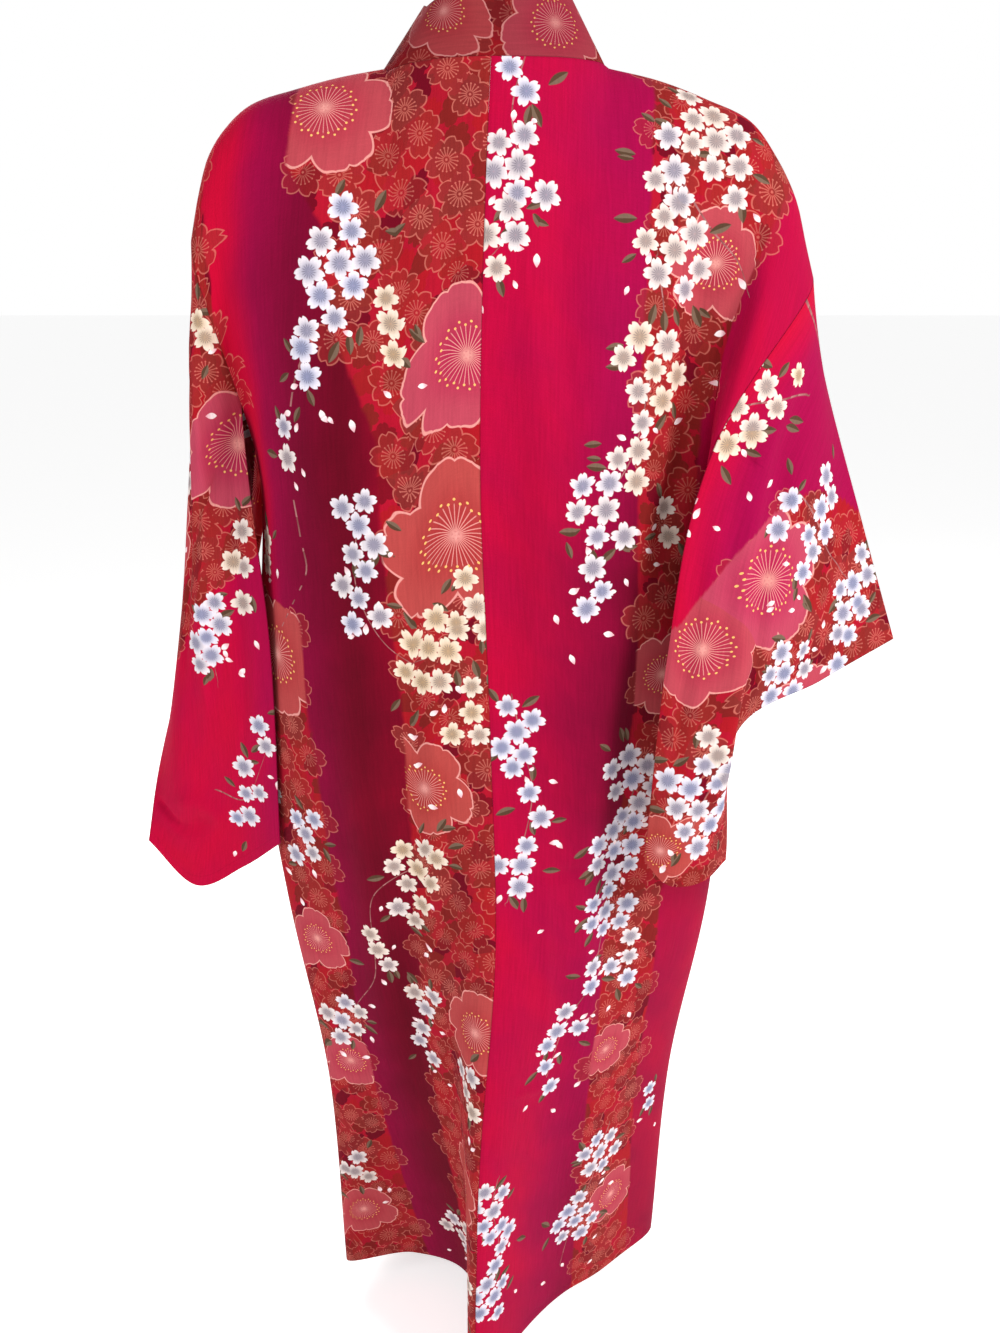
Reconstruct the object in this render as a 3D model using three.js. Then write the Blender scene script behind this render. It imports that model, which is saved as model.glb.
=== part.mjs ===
// A women's cotton yukata, filled out as worn, in millimetres, with +Z up.
// The origin is between the shoulders at the neck; -Y is the wearer's back and +X the wearer's right.
import * as THREE from 'three';

// Cloth and sewing
const CLOTH_WALL = 1.5;
const COLLAR_WALL = 2.6;
const SEAM_GAP = 0.3;
const ARMHOLE_GAP = 0.7;
// How far the left front stands off the right one, and where it rises to that
const FRONT_LAP = { height: 4.5, from: 5.95, within: 0.4, down: 0.3 };
const BAG_SEAM_DEPTH = 5.2;

// Main sizes
const UNDERARM_Z = -400;
const HEM_Z = -1430;
const NECK_HALF_WIDTH = 99;
const NECK_RAISE = 52;
const COLLAR_WIDTH = 62;
const SHOULDER_PULL = 250;
const ARM_PULL = 150;
const FALL_SHARE = 0.95;
// The collar's stand at the centre back, and how its backward lean lessens at the sides of the neck
const STANDING_BACK = 0.42;
const STANDING_TURN = 0.34;
const STANDING_UP = 0.91;

// How far each shoulder reaches from the neck, and how far it drops there
const RIGHT = { sign: 1, reach: 296, drop: 172, centre: 0, side: 2, frontStep: 1, line: 'right', lean: 0.52 };
const LEFT = { sign: -1, reach: 277, drop: 135, centre: 9, side: 6, frontStep: -1, line: 'left', lean: 0.66 };
const FRONT_CENTRE = 4;

// The shoulder line: share of the reach, and share of the drop on either side
const SHOULDER_LINE = [
  { reach: 0.34, right: 0, left: 0 },
  { reach: 0.5, right: 0.06, left: 0.055 },
  { reach: 0.65, right: 0.15, left: 0.13 },
  { reach: 0.78, right: 0.25, left: 0.21 },
  { reach: 0.86, right: 0.41, left: 0.33 },
  { reach: 0.93, right: 0.62, left: 0.52 },
  { reach: 0.97, right: 0.84, left: 0.76 },
  { reach: 1, right: 1, left: 1 },
];

// The cloth beside each armhole is drawn this way, most at the middle of these levels
const SIDE_PULLS = [
  { around: 2, width: 0.28, from: 0.1, to: 1.3, by: [-46, -76, 0] },
  { around: 6, width: 0.3, from: 0.15, to: 1.6, by: [0, 24, 0] },
];

// Level sections of the body, x and y at nine places, anticlockwise from the ridge at the centre back
const PLACES = [
  'ridge', 'rightBack', 'rightSide', 'rightFront', 'front', 'leftFront', 'leftSide', 'leftBack', 'leftHollow',
];
const SECTIONS = [
  {
    z: -400, ridge: [-12, -112], rightBack: [125, -98], rightSide: [236, 0], rightFront: [130, 104],
    front: [0, 122], leftFront: [-130, 104], leftSide: [-240, 0], leftBack: [-137, -98], leftHollow: [-70, -110],
  },
  {
    z: -620, ridge: [-4, -114], rightBack: [133, -94], rightSide: [250, 5], rightFront: [135, 106],
    front: [0, 124], leftFront: [-132, 104], leftSide: [-249, 0], leftBack: [-142, -90], leftHollow: [-72, -105],
  },
  {
    z: -850, ridge: [0, -122], rightBack: [130, -82], rightSide: [248, 15], rightFront: [135, 112],
    front: [0, 127], leftFront: [-130, 108], leftSide: [-232, 0], leftBack: [-137, -62], leftHollow: [-62, -86],
  },
  {
    z: -1120, ridge: [-18, -135], rightBack: [98, -58], rightSide: [221, 46], rightFront: [127, 126],
    front: [0, 131], leftFront: [-125, 115], leftSide: [-206, 8], leftBack: [-120, -16], leftHollow: [-48, -54],
  },
  {
    z: -1430, ridge: [-26, -143], rightBack: [100, -14], rightSide: [217, 83], rightFront: [125, 140],
    front: [0, 143], leftFront: [-124, 124], leftSide: [-203, 28], leftBack: [-112, 38], leftHollow: [-34, -4],
  },
];
// Share of the shoulder's reach above each of those places
const REACH_SHARES = [0, 0.53, 1, 0.55, 0, -0.55, -1, -0.62, -0.3];

// Down the cloth, 0 is the shoulder line, 1 the underarm and 2 the hem
const NECK_DOWN = 0.25;
const OKUMI_SEAM = -0.1;
const OKUMI_TIP = 0.015;
// The collar lies flat on the front from this level, and crosses the sections at this slope
const COLLAR_LIES_FROM = 0.4;
const COLLAR_SLOPE = 0.5;
// The front edge, in steps past the centre front, negative on its own side
const FRONT_EDGE = [
  { down: 0.35, past: -0.4 },
  { down: 0.72, past: 0 },
  { down: 1, past: 0.22 },
  { down: 1.45, past: 0.95 },
  { down: 2, past: 1 },
];

// Sleeve sections from the armhole to the cuff: the back layer's points from the top fold to the bottom,
// how far the front layer lies forward of them, and how far its free edge stands off the body
const RIGHT_SLEEVE = {
  side: RIGHT,
  forward: [0.25, 0.97, 0],
  stand: [34, 0, 0],
  sections: [
    { top: [296, 0, -172], upper: [186, -106, -318], lower: [162, -128, -515], foot: [150, -132, -730] },
    { top: [324, -5, -276], upper: [270, -82, -360], lower: [194, -134, -545], foot: [174, -142, -752] },
    { top: [368, -18, -405], upper: [304, -76, -465], lower: [233, -126, -552], foot: [210, -130, -755] },
    { top: [411, -30, -528], upper: [331, -62, -562], lower: [238, -110, -600], foot: [238, -102, -746] },
  ],
  depths: [
    { top: 0, upper: 40, lower: 24, foot: BAG_SEAM_DEPTH },
    { top: 0, upper: 130, lower: 34, foot: BAG_SEAM_DEPTH },
    { top: 0, upper: 105, lower: 34, foot: BAG_SEAM_DEPTH },
    { top: 0, upper: 72, lower: 6, foot: BAG_SEAM_DEPTH },
  ],
};
const LEFT_SLEEVE = {
  side: LEFT,
  forward: [0.62, 0.78, 0],
  stand: [-22, 30, 0],
  sections: [
    { top: [-277, 0, -135], upper: [-258, -14, -318], lower: [-231, -44, -520], foot: [-239, -26, -768] },
    { top: [-292, 18, -230], upper: [-302, -24, -410], lower: [-308, -14, -610], foot: [-291, 6, -816] },
    { top: [-305, 78, -320], upper: [-330, 14, -490], lower: [-354, 4, -670], foot: [-349, 12, -843] },
    { top: [-316, 150, -420], upper: [-350, 82, -565], lower: [-384, 40, -700], foot: [-401, 22, -790] },
  ],
  depths: [
    { top: 0, upper: 75, lower: 8, foot: BAG_SEAM_DEPTH },
    { top: 0, upper: 105, lower: 34, foot: BAG_SEAM_DEPTH },
    { top: 0, upper: 100, lower: 34, foot: BAG_SEAM_DEPTH },
    { top: 0, upper: 80, lower: 9, foot: BAG_SEAM_DEPTH },
  ],
};
const ARMHOLE_SHARE = 0.37;
// The top fold opens over this share of the drop, and the layers are apart this soon
const FOLD_SHARE = 1 / 3;
const FOLD_ROUNDING = 0.62;
const LEAST_DEPTH_SHARE = 1 / 12;
// How quickly the armhole's pull on the sleeve fades, along it and down its free edges
const FADE_ALONG = 3;
const FADE_DOWN_BACK = 5;
const FADE_DOWN_FRONT = 2;

// Small steps, in places round the body, for directions and lengths
const NORMAL_STEP = 0.004;
const LENGTH_STEP = 0.01;
const ARMHOLE_STEP_IN = 0.06;
const MOST_STEPS_IN = 0.2;
const LEAST_LENGTH = 0.02;

// Grid steps. Pieces that are sewn together share their levels.
const BODY_COLUMNS = 14;
const OKUMI_COLUMNS = 4;
const COLLAR_COLUMNS = 4;
const SLEEVE_COLUMNS = 12;
const FREE_EDGE_ROWS = 9;
const NECK_STEPS = 7;
const UPPER_STEPS = 16;
const LOWER_STEPS = 18;
const ARMHOLE_STEPS = 12;
const OKUMI_FIRST_STEP = 12;
const COLLAR_LAST_STEP = UPPER_STEPS + 8;

// The levels from the shoulder line past the neck's lowest point to the underarm and the hem
function levelAt(step) {
  if (step <= NECK_STEPS) return NECK_DOWN * Math.sin((step / NECK_STEPS) * (Math.PI / 2));
  if (step <= UPPER_STEPS) {
    return NECK_DOWN + (1 - NECK_DOWN) * ((step - NECK_STEPS) / (UPPER_STEPS - NECK_STEPS));
  }
  return 1 + (step - UPPER_STEPS) / LOWER_STEPS;
}
const LAST_STEP = UPPER_STEPS + LOWER_STEPS;
const ARMHOLE_DOWN = levelAt(ARMHOLE_STEPS);

const lerp = THREE.MathUtils.lerp;
const clamp01 = (value) => THREE.MathUtils.clamp(value, 0, 1);
const vector = (values) => new THREE.Vector3(...values);

function smoothstep(value) {
  const t = clamp01(value);
  return t * t * (3 - 2 * t);
}

// Cubic between b and c that runs smoothly on from a and to d
function cubic(a, b, c, d, t) {
  const start = (c - a) / 2;
  const end = (d - b) / 2;
  return hermite(b, start, c, end, t);
}

function hermite(from, fromSlope, to, toSlope, t) {
  const t2 = t * t;
  const t3 = t2 * t;
  return (
    (2 * t3 - 3 * t2 + 1) * from + (t3 - 2 * t2 + t) * fromSlope
    + (3 * t2 - 2 * t3) * to + (t3 - t2) * toSlope
  );
}

// A smooth value from table rows that are sorted by one of their columns
function tableValue(rows, byColumn, read, at) {
  const places = rows.map((row) => row[byColumn]);
  const rising = places[places.length - 1] > places[0] ? 1 : -1;
  let k = 0;
  while (k < rows.length - 2 && (at - places[k + 1]) * rising > 0) k += 1;
  const slope = (i) => {
    const a = Math.max(i - 1, 0);
    const b = Math.min(i + 1, rows.length - 1);
    return (read(rows[b]) - read(rows[a])) / (places[b] - places[a]);
  };
  const span = places[k + 1] - places[k];
  const t = clamp01((at - places[k]) / span);
  return hermite(read(rows[k]), slope(k) * span, read(rows[k + 1]), slope(k + 1) * span, t);
}

// A point of the body's level section, around counted in places from the ridge
function sectionPoint(around, z) {
  const count = PLACES.length;
  const base = Math.floor(around);
  const at = (step, axis) => {
    const place = PLACES[(base + step + 2 * count) % count];
    return tableValue(SECTIONS, 'z', (row) => row[place][axis], z);
  };
  const t = around - base;
  const x = cubic(at(-1, 0), at(0, 0), at(1, 0), at(2, 0), t);
  const y = cubic(at(-1, 1), at(0, 1), at(1, 1), at(2, 1), t);
  return new THREE.Vector3(x, y, z);
}

function reachShare(around) {
  const count = REACH_SHARES.length;
  const base = Math.floor(around);
  return lerp(REACH_SHARES[base % count], REACH_SHARES[(base + 1) % count], around - base);
}

function shoulderHeight(share, side) {
  const neckShare = SHOULDER_LINE[0].reach;
  if (share < neckShare) return NECK_RAISE * (1 - (share / neckShare) ** 2);
  return -side.drop * tableValue(SHOULDER_LINE, 'reach', (row) => row[side.line], share);
}

// How far a point is drawn aside by the pulls beside the armholes
function sidePull(around, down) {
  const total = new THREE.Vector3();
  for (const pull of SIDE_PULLS) {
    if (down <= pull.from || down >= pull.to) continue;
    const along = Math.sin(Math.PI * ((down - pull.from) / (pull.to - pull.from))) ** 2;
    const across = Math.exp(-(((around - pull.around) / pull.width) ** 2));
    total.addScaledVector(vector(pull.by), along * across);
  }
  return total;
}

// Soft folds: where round the body, how wide, between which levels and how high
const FOLDS = [
  { around: 1.5, width: 0.3, from: 0.2, to: 1.5, height: 9 },
  { around: 0.62, width: 0.3, from: 1.1, to: 2.4, height: -7 },
  { around: 1.2, width: 0.25, from: 1.35, to: 2.4, height: 7 },
  { around: 2.7, width: 0.3, from: 0.9, to: 2.4, height: 8 },
  { around: 3.4, width: 0.3, from: 0.15, to: 1.3, height: -5 },
  { around: 4.75, width: 0.3, from: 0.2, to: 1.5, height: -5 },
  { around: 5.3, width: 0.3, from: 1, to: 2.4, height: 8 },
  { around: 6.6, width: 0.3, from: 0.3, to: 1.6, height: 8 },
  { around: 7.5, width: 0.35, from: 0.1, to: 1.2, height: -6 },
];

function foldHeight(around, down) {
  let height = 0;
  for (const fold of FOLDS) {
    if (down <= fold.from || down >= fold.to) continue;
    const along = Math.sin(Math.PI * ((down - fold.from) / (fold.to - fold.from))) ** 2;
    height += fold.height * along * Math.exp(-(((around - fold.around) / fold.width) ** 2));
  }
  return height;
}

// A point of the body's outer face: below the underarm it lies on the sections, above it rolls
// from the shoulder line down to the first section
function bodyPoint(front, around, down) {
  const pull = sidePull(around, down);
  if (down >= 1) return sectionPoint(around, lerp(UNDERARM_Z, HEM_Z, down - 1)).add(pull);
  const signed = reachShare(around);
  const share = Math.abs(signed);
  const shoulder = signed < 0 ? LEFT : RIGHT;
  const topX = signed * shoulder.reach;
  const topZ = shoulderHeight(share, shoulder);
  const foot = sectionPoint(around, UNDERARM_Z);
  const lean = sectionPoint(around, UNDERARM_Z - 1).sub(foot);
  const roll = (front ? 1 : -1) * (SHOULDER_PULL + ARM_PULL * share ** 3);
  const fall = FALL_SHARE * (topZ - UNDERARM_Z);
  return new THREE.Vector3(
    hermite(topX, 0, foot.x, lean.x * fall, down),
    hermite(0, roll, foot.y, lean.y * fall, down),
    hermite(topZ, 0, foot.z, lean.z * fall, down),
  ).add(pull);
}

// The outward direction, from small steps taken towards the middle of the panel
function bodyNormal(side, front, around, down) {
  const step = NORMAL_STEP;
  const middle = front ? (side.side + FRONT_CENTRE) / 2 : (side.side + side.centre) / 2;
  const inward = Math.sign(middle - around) || 1;
  const rise = down > 1 ? -step : step;
  const here = bodyPoint(front, around, down);
  const across = bodyPoint(front, around + inward * step, down).sub(here).multiplyScalar(inward);
  const along = bodyPoint(front, around, down + rise).sub(here).multiplyScalar(Math.sign(rise));
  return along.cross(across).normalize();
}

// The left front lies over the right one
function lapAt(side, front, around, down) {
  if (side !== LEFT || !front) return 0;
  const rise = smoothstep((FRONT_LAP.from - around) / FRONT_LAP.within);
  return FRONT_LAP.height * rise * smoothstep(down / FRONT_LAP.down);
}

function clothPoint(side, front, around, down) {
  const normal = bodyNormal(side, front, around, down);
  const height = lapAt(side, front, around, down) + foldHeight(around, down);
  return { point: bodyPoint(front, around, down).addScaledVector(normal, height), normal };
}

function neckShareOf(side) {
  return NECK_HALF_WIDTH / side.reach;
}

// How far round the front edge lies at a level, in steps past the centre front
function frontEdge(side, down) {
  const neck = { down: 0, past: -neckShareOf(side) / REACH_SHARES[3] };
  return tableValue([neck, ...FRONT_EDGE], 'down', (row) => row.past, down);
}

function frontAround(side, past) {
  return FRONT_CENTRE + side.frontStep * past;
}

// The neck's curve on the back, from the centre seam to the shoulder line
function neckAround(side, down) {
  const share = neckShareOf(side) * Math.sqrt(Math.max(0, 1 - (down / NECK_DOWN) ** 2));
  if (side === RIGHT) return share / REACH_SHARES[1];
  const hollow = -REACH_SHARES[8];
  const back = -REACH_SHARES[7];
  return share < hollow ? side.centre - share / hollow : side.centre - 1 - (share - hollow) / (back - hollow);
}

// Steps around that make one millimetre along the section
function stepsPerMillimetre(front, around, down, inward) {
  const here = bodyPoint(front, around, down);
  const there = bodyPoint(front, around + inward * LENGTH_STEP, down);
  return LENGTH_STEP / Math.max(here.distanceTo(there), LEAST_LENGTH);
}

function movedIn(front, around, down, inward, distance) {
  const steps = distance * stepsPerMillimetre(front, around, down, inward);
  return around + inward * Math.min(steps, MOST_STEPS_IN);
}

// A closed sheet from rows of outer points with their outward directions
function thickSheet(rows, wall) {
  const across = rows[0].length;
  const positions = [];
  for (const depth of [0, wall]) {
    for (const row of rows) {
      for (const { point, normal } of row) {
        const moved = point.clone().addScaledVector(normal, -depth);
        positions.push(moved.x, moved.y, moved.z);
      }
    }
  }
  const total = rows.length * across;
  const index = [];
  const quad = (a, b, c, d) => index.push(a, b, c, a, c, d);
  for (let i = 0; i + 1 < rows.length; i += 1) {
    for (let j = 0; j + 1 < across; j += 1) {
      const a = i * across + j;
      quad(a, a + across, a + across + 1, a + 1);
      quad(total + a, total + a + 1, total + a + across + 1, total + a + across);
    }
  }
  const edge = (a, b) => quad(a, b, total + b, total + a);
  for (let j = 0; j + 1 < across; j += 1) {
    edge(j, j + 1);
    const last = (rows.length - 1) * across + j;
    edge(last + 1, last);
  }
  for (let i = 0; i + 1 < rows.length; i += 1) {
    edge((i + 1) * across, i * across);
    edge((i + 1) * across - 1, (i + 2) * across - 1);
  }
  if (signedVolume(positions, index) < 0) {
    for (let k = 0; k < index.length; k += 3) [index[k], index[k + 1]] = [index[k + 1], index[k]];
  }
  const geometry = new THREE.BufferGeometry();
  geometry.setAttribute('position', new THREE.Float32BufferAttribute(positions, 3));
  geometry.setIndex(index);
  geometry.computeVertexNormals();
  return geometry;
}

function signedVolume(positions, index) {
  const corner = (k) => new THREE.Vector3().fromArray(positions, 3 * index[k]);
  let volume = 0;
  for (let k = 0; k < index.length; k += 3) {
    volume += corner(k).dot(corner(k + 1).cross(corner(k + 2)));
  }
  return volume / 6;
}

function bodyRow(side, front, inner, down) {
  const inward = Math.sign((front ? frontAround(side, -1) : (side.side + side.centre) / 2) - side.side);
  const outer = movedIn(front, side.side, down, inward, SEAM_GAP / 2);
  const gapped = movedIn(front, inner, down, -inward, SEAM_GAP / 2);
  const row = [];
  for (let j = 0; j <= BODY_COLUMNS; j += 1) {
    row.push(clothPoint(side, front, lerp(gapped, outer, j / BODY_COLUMNS), down));
  }
  return row;
}

function okumiSeam(side, down) {
  return Math.min(OKUMI_SEAM, frontEdge(side, down) - OKUMI_TIP);
}

function bodyPanel(side) {
  const rows = [];
  for (let step = LAST_STEP; step > 0; step -= 1) {
    const down = levelAt(step);
    const inner = down > NECK_DOWN ? side.centre : neckAround(side, down);
    rows.push(bodyRow(side, false, inner, down));
  }
  for (let step = 0; step <= LAST_STEP; step += 1) {
    const down = levelAt(step);
    const past = step < OKUMI_FIRST_STEP ? frontEdge(side, down) : okumiSeam(side, down);
    rows.push(bodyRow(side, true, frontAround(side, past), down));
  }
  return thickSheet(rows, CLOTH_WALL);
}

function okumiPanel(side) {
  const rows = [];
  for (let step = OKUMI_FIRST_STEP; step <= LAST_STEP; step += 1) {
    const down = levelAt(step);
    const inner = frontAround(side, okumiSeam(side, down));
    const outer = frontAround(side, frontEdge(side, down));
    const seam = movedIn(true, inner, down, side.frontStep, SEAM_GAP / 2);
    const edge = movedIn(true, outer, down, -side.frontStep, SEAM_GAP / 2);
    const row = [];
    for (let j = 0; j <= OKUMI_COLUMNS; j += 1) {
      row.push(clothPoint(side, true, lerp(seam, edge, j / OKUMI_COLUMNS), down));
    }
    rows.push(row);
  }
  return thickSheet(rows, CLOTH_WALL);
}

// The collar's row of points at one place of the neck seam or front edge
function collarRow(side, front, down) {
  const around = front ? frontAround(side, frontEdge(side, down)) : neckAround(side, down);
  const seam = clothPoint(side, front, around, down);
  const turn = clamp01(Math.abs(seam.point.x) / NECK_HALF_WIDTH);
  const standing = vector([-side.sign * side.lean * turn, STANDING_BACK - STANDING_TURN * turn, STANDING_UP]);
  standing.normalize();
  const lying = front ? smoothstep(down / COLLAR_LIES_FROM) : 0;
  const slant = Math.hypot(1, COLLAR_SLOPE);
  const perMillimetre = stepsPerMillimetre(front, around, down, side.frontStep);
  const row = [];
  for (let j = 0; j <= COLLAR_COLUMNS; j += 1) {
    const width = SEAM_GAP / 2 + COLLAR_WIDTH * (j / COLLAR_COLUMNS);
    const raised = seam.point.clone().addScaledVector(standing, width);
    if (lying > 0) {
      const across = around + side.frontStep * width * slant * perMillimetre;
      raised.lerp(clothPoint(side, true, across, down).point, lying);
    }
    row.push(raised);
  }
  return row;
}

function collarBand() {
  const halfRows = (side) => {
    const rows = [];
    for (let step = NECK_STEPS; step > 0; step -= 1) rows.push(collarRow(side, false, levelAt(step)));
    for (let step = 0; step <= COLLAR_LAST_STEP; step += 1) rows.push(collarRow(side, true, levelAt(step)));
    return rows;
  };
  const left = halfRows(LEFT).reverse();
  const right = halfRows(RIGHT).slice(1);
  const points = [...left, ...right];
  return thickSheet(withNormals(points), COLLAR_WALL);
}

// Outward directions of a grid whose rows run from the left round the back to the right
function withNormals(points) {
  const last = points.length - 1;
  return points.map((row, i) => row.map((point, j) => {
    const along = points[Math.min(i + 1, last)][j].clone().sub(points[Math.max(i - 1, 0)][j]);
    const across = row[Math.min(j + 1, row.length - 1)].clone().sub(row[Math.max(j - 1, 0)]);
    return { point, normal: along.cross(across).normalize() };
  }));
}

const SECTION_POINTS = ['top', 'upper', 'lower', 'foot'];

// A smooth value from a 4 by 4 table, both ways
function patchValue(read, along, drop) {
  const steps = SECTION_POINTS.length - 1;
  const line = (values, t) => {
    const at = clamp01(t) * steps;
    const k = Math.min(Math.floor(at), steps - 1);
    const before = values[k - 1] ?? 2 * values[k] - values[k + 1];
    const after = values[k + 2] ?? 2 * values[k + 1] - values[k];
    return cubic(before, values[k], values[k + 1], after, at - k);
  };
  return line([0, 1, 2, 3].map((i) => line(SECTION_POINTS.map((name) => read(i, name)), drop)), along);
}

// A point of the sleeve: round runs from -1 at the back's bottom seam over the fold to 1 at the front's
function sleevePatch(sleeve, along, round) {
  const drop = Math.abs(round);
  const axis = (k) => patchValue((i, name) => sleeve.sections[i][name][k], along, drop);
  const point = new THREE.Vector3(axis(0), axis(1), axis(2));
  if (round <= 0) return point;
  const depth = patchValue((i, name) => sleeve.depths[i][name], along, drop);
  const rounding = Math.min(1, drop / FOLD_SHARE) ** (FOLD_ROUNDING - 1);
  const least = BAG_SEAM_DEPTH * Math.min(1, drop / LEAST_DEPTH_SHARE);
  return point.addScaledVector(vector(sleeve.forward), Math.max(depth * rounding, least));
}

// The armhole's edge of the body, where the sleeve is sewn on
function armhole(side, round) {
  const down = ARMHOLE_DOWN * Math.min(1, Math.abs(round) / ARMHOLE_SHARE);
  const front = round > 0;
  const inward = Math.sign((front ? frontAround(side, -1) : (side.side + side.centre) / 2) - side.side);
  const around = movedIn(front, side.side, down, inward, SEAM_GAP / 2);
  const edge = clothPoint(side, front, around, down);
  const inside = clothPoint(side, front, around + inward * ARMHOLE_STEP_IN, down);
  const outwards = edge.point.clone().sub(inside.point).normalize();
  edge.point.addScaledVector(outwards, ARMHOLE_GAP);
  return { ...edge, outwards };
}

function sleevePoint(sleeve, along, round) {
  const point = sleevePatch(sleeve, along, round);
  const held = Math.sign(round) * Math.min(Math.abs(round), ARMHOLE_SHARE);
  const shift = armhole(sleeve.side, round).point.sub(sleevePatch(sleeve, 0, held));
  const free = clamp01((Math.abs(round) - ARMHOLE_SHARE) / (1 - ARMHOLE_SHARE));
  const front = round > 0;
  const fade = (1 - free) ** (front ? FADE_DOWN_FRONT : FADE_DOWN_BACK);
  point.addScaledVector(shift, (1 - along) ** FADE_ALONG * fade);
  if (front) point.addScaledVector(vector(sleeve.stand), 4 * free * (1 - free) * (1 - along) ** 2);
  return point;
}

// How far round the sleeve each of its rows lies, matched to the body's levels along the armhole
function sleeveRounds() {
  const half = [];
  for (let step = 1; step <= ARMHOLE_STEPS; step += 1) {
    half.push(ARMHOLE_SHARE * levelAt(step) / ARMHOLE_DOWN);
  }
  for (let step = 1; step <= FREE_EDGE_ROWS; step += 1) {
    half.push(lerp(ARMHOLE_SHARE, 1, step / FREE_EDGE_ROWS));
  }
  return [...half.map((round) => -round).reverse(), 0, ...half];
}

function sleeve(shape) {
  const rounds = sleeveRounds();
  const points = rounds.map((round) => {
    const row = [];
    for (let j = 0; j <= SLEEVE_COLUMNS; j += 1) row.push(sleevePoint(shape, j / SLEEVE_COLUMNS, round));
    return row;
  });
  const rows = withNormals(points);
  rows.forEach((row, i) => {
    row.forEach((corner) => corner.normal.multiplyScalar(-shape.side.sign));
    if (Math.abs(rounds[i]) > ARMHOLE_SHARE) return;
    const seam = armhole(shape.side, rounds[i]);
    if (row[0].normal.dot(seam.outwards) > 0) row[0].normal = seam.normal;
  });
  return thickSheet(rows, CLOTH_WALL);
}

const crimson = new THREE.MeshStandardMaterial({ color: '#b8083c', roughness: 0.85, metalness: 0 });
const patterned = new THREE.MeshStandardMaterial({ color: '#9c3238', roughness: 0.85, metalness: 0 });

const robe = new THREE.Group();
function addPiece(name, geometry, material) {
  const piece = new THREE.Mesh(geometry, material);
  piece.name = name;
  robe.add(piece);
}

addPiece('body_left', bodyPanel(LEFT), crimson);
addPiece('body_right', bodyPanel(RIGHT), crimson);
addPiece('okumi_left', okumiPanel(LEFT), crimson);
addPiece('okumi_right', okumiPanel(RIGHT), crimson);
addPiece('collar', collarBand(), patterned);
addPiece('sleeve_left', sleeve(LEFT_SLEEVE), crimson);
addPiece('sleeve_right', sleeve(RIGHT_SLEEVE), crimson);

export default robe;
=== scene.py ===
import math

import bpy
import numpy as np
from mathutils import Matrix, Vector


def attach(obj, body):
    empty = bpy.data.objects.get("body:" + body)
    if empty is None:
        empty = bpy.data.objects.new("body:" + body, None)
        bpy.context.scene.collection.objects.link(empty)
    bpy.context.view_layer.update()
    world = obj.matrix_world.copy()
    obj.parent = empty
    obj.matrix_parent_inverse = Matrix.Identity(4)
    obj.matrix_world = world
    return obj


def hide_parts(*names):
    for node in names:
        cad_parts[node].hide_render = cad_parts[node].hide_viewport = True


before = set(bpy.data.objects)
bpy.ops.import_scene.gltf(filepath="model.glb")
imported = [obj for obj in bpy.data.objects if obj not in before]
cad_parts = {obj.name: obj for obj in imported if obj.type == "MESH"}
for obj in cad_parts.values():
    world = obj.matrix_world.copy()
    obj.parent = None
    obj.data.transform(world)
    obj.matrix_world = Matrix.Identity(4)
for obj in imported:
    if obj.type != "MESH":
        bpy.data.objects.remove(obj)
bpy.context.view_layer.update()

METRE = 0.001

# Cloth and sewing
CLOTH_WALL = 1.1
COLLAR_WALL = 2.4
SEAM_GAP = 0.08
ARMHOLE_GAP = 0.4
BAG_SEAM_DEPTH = 5.2
# How far the left front stands off the right one, and where it rises to that
FRONT_LAP = 4.5
LAP_FROM = 5.95
LAP_WITHIN = 0.4
LAP_DOWN = 0.3

# Main sizes, the same as the frame's
UNDERARM_Z = -400
HEM_Z = -1430
NECK_HALF_WIDTH = 99
NECK_RAISE = 52
COLLAR_WIDTH = 62
SHOULDER_PULL = 250
ARM_PULL = 150
FALL_SHARE = 0.95
# The collar's stand at the centre back, and how its backward lean lessens at the sides of the neck
STANDING_BACK = 0.42
STANDING_TURN = 0.34
STANDING_UP = 0.91
# The collar lies flat on the front from this far down, and runs across it at this slant
COLLAR_LIES_DOWN = 0.4
COLLAR_SLANT = 0.5

# Small steps, in places round the body, for directions and lengths, and the least length they count as
NORMAL_STEP = 0.004
LENGTH_STEP = 0.01
LEAST_LENGTH = 0.02
MOST_STEPS_IN = 0.2
ARMHOLE_STEP_IN = 0.06

# How far each shoulder reaches from the neck, and how far it drops there
RIGHT = {"sign": 1, "reach": 296, "drop": 172, "centre": 0, "side": 2, "front_step": 1, "lean": 0.52}
LEFT = {"sign": -1, "reach": 277, "drop": 135, "centre": 9, "side": 6, "front_step": -1, "lean": 0.66}
FRONT_CENTRE = 4

# The shoulder line: share of the reach, and share of the drop on either side
SHOULDER_REACH = [0.34, 0.5, 0.65, 0.78, 0.86, 0.93, 0.97, 1]
RIGHT_DROP = [0, 0.06, 0.15, 0.25, 0.41, 0.62, 0.84, 1]
LEFT_DROP = [0, 0.055, 0.13, 0.21, 0.33, 0.52, 0.76, 1]
# The cloth beside each armhole is drawn aside: where round the body, how wide, between which levels, by what
SIDE_PULLS = [
    (2, 0.28, 0.1, 1.3, (-46, -76, 0)),
    (6, 0.3, 0.15, 1.6, (0, 24, 0)),
]

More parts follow.
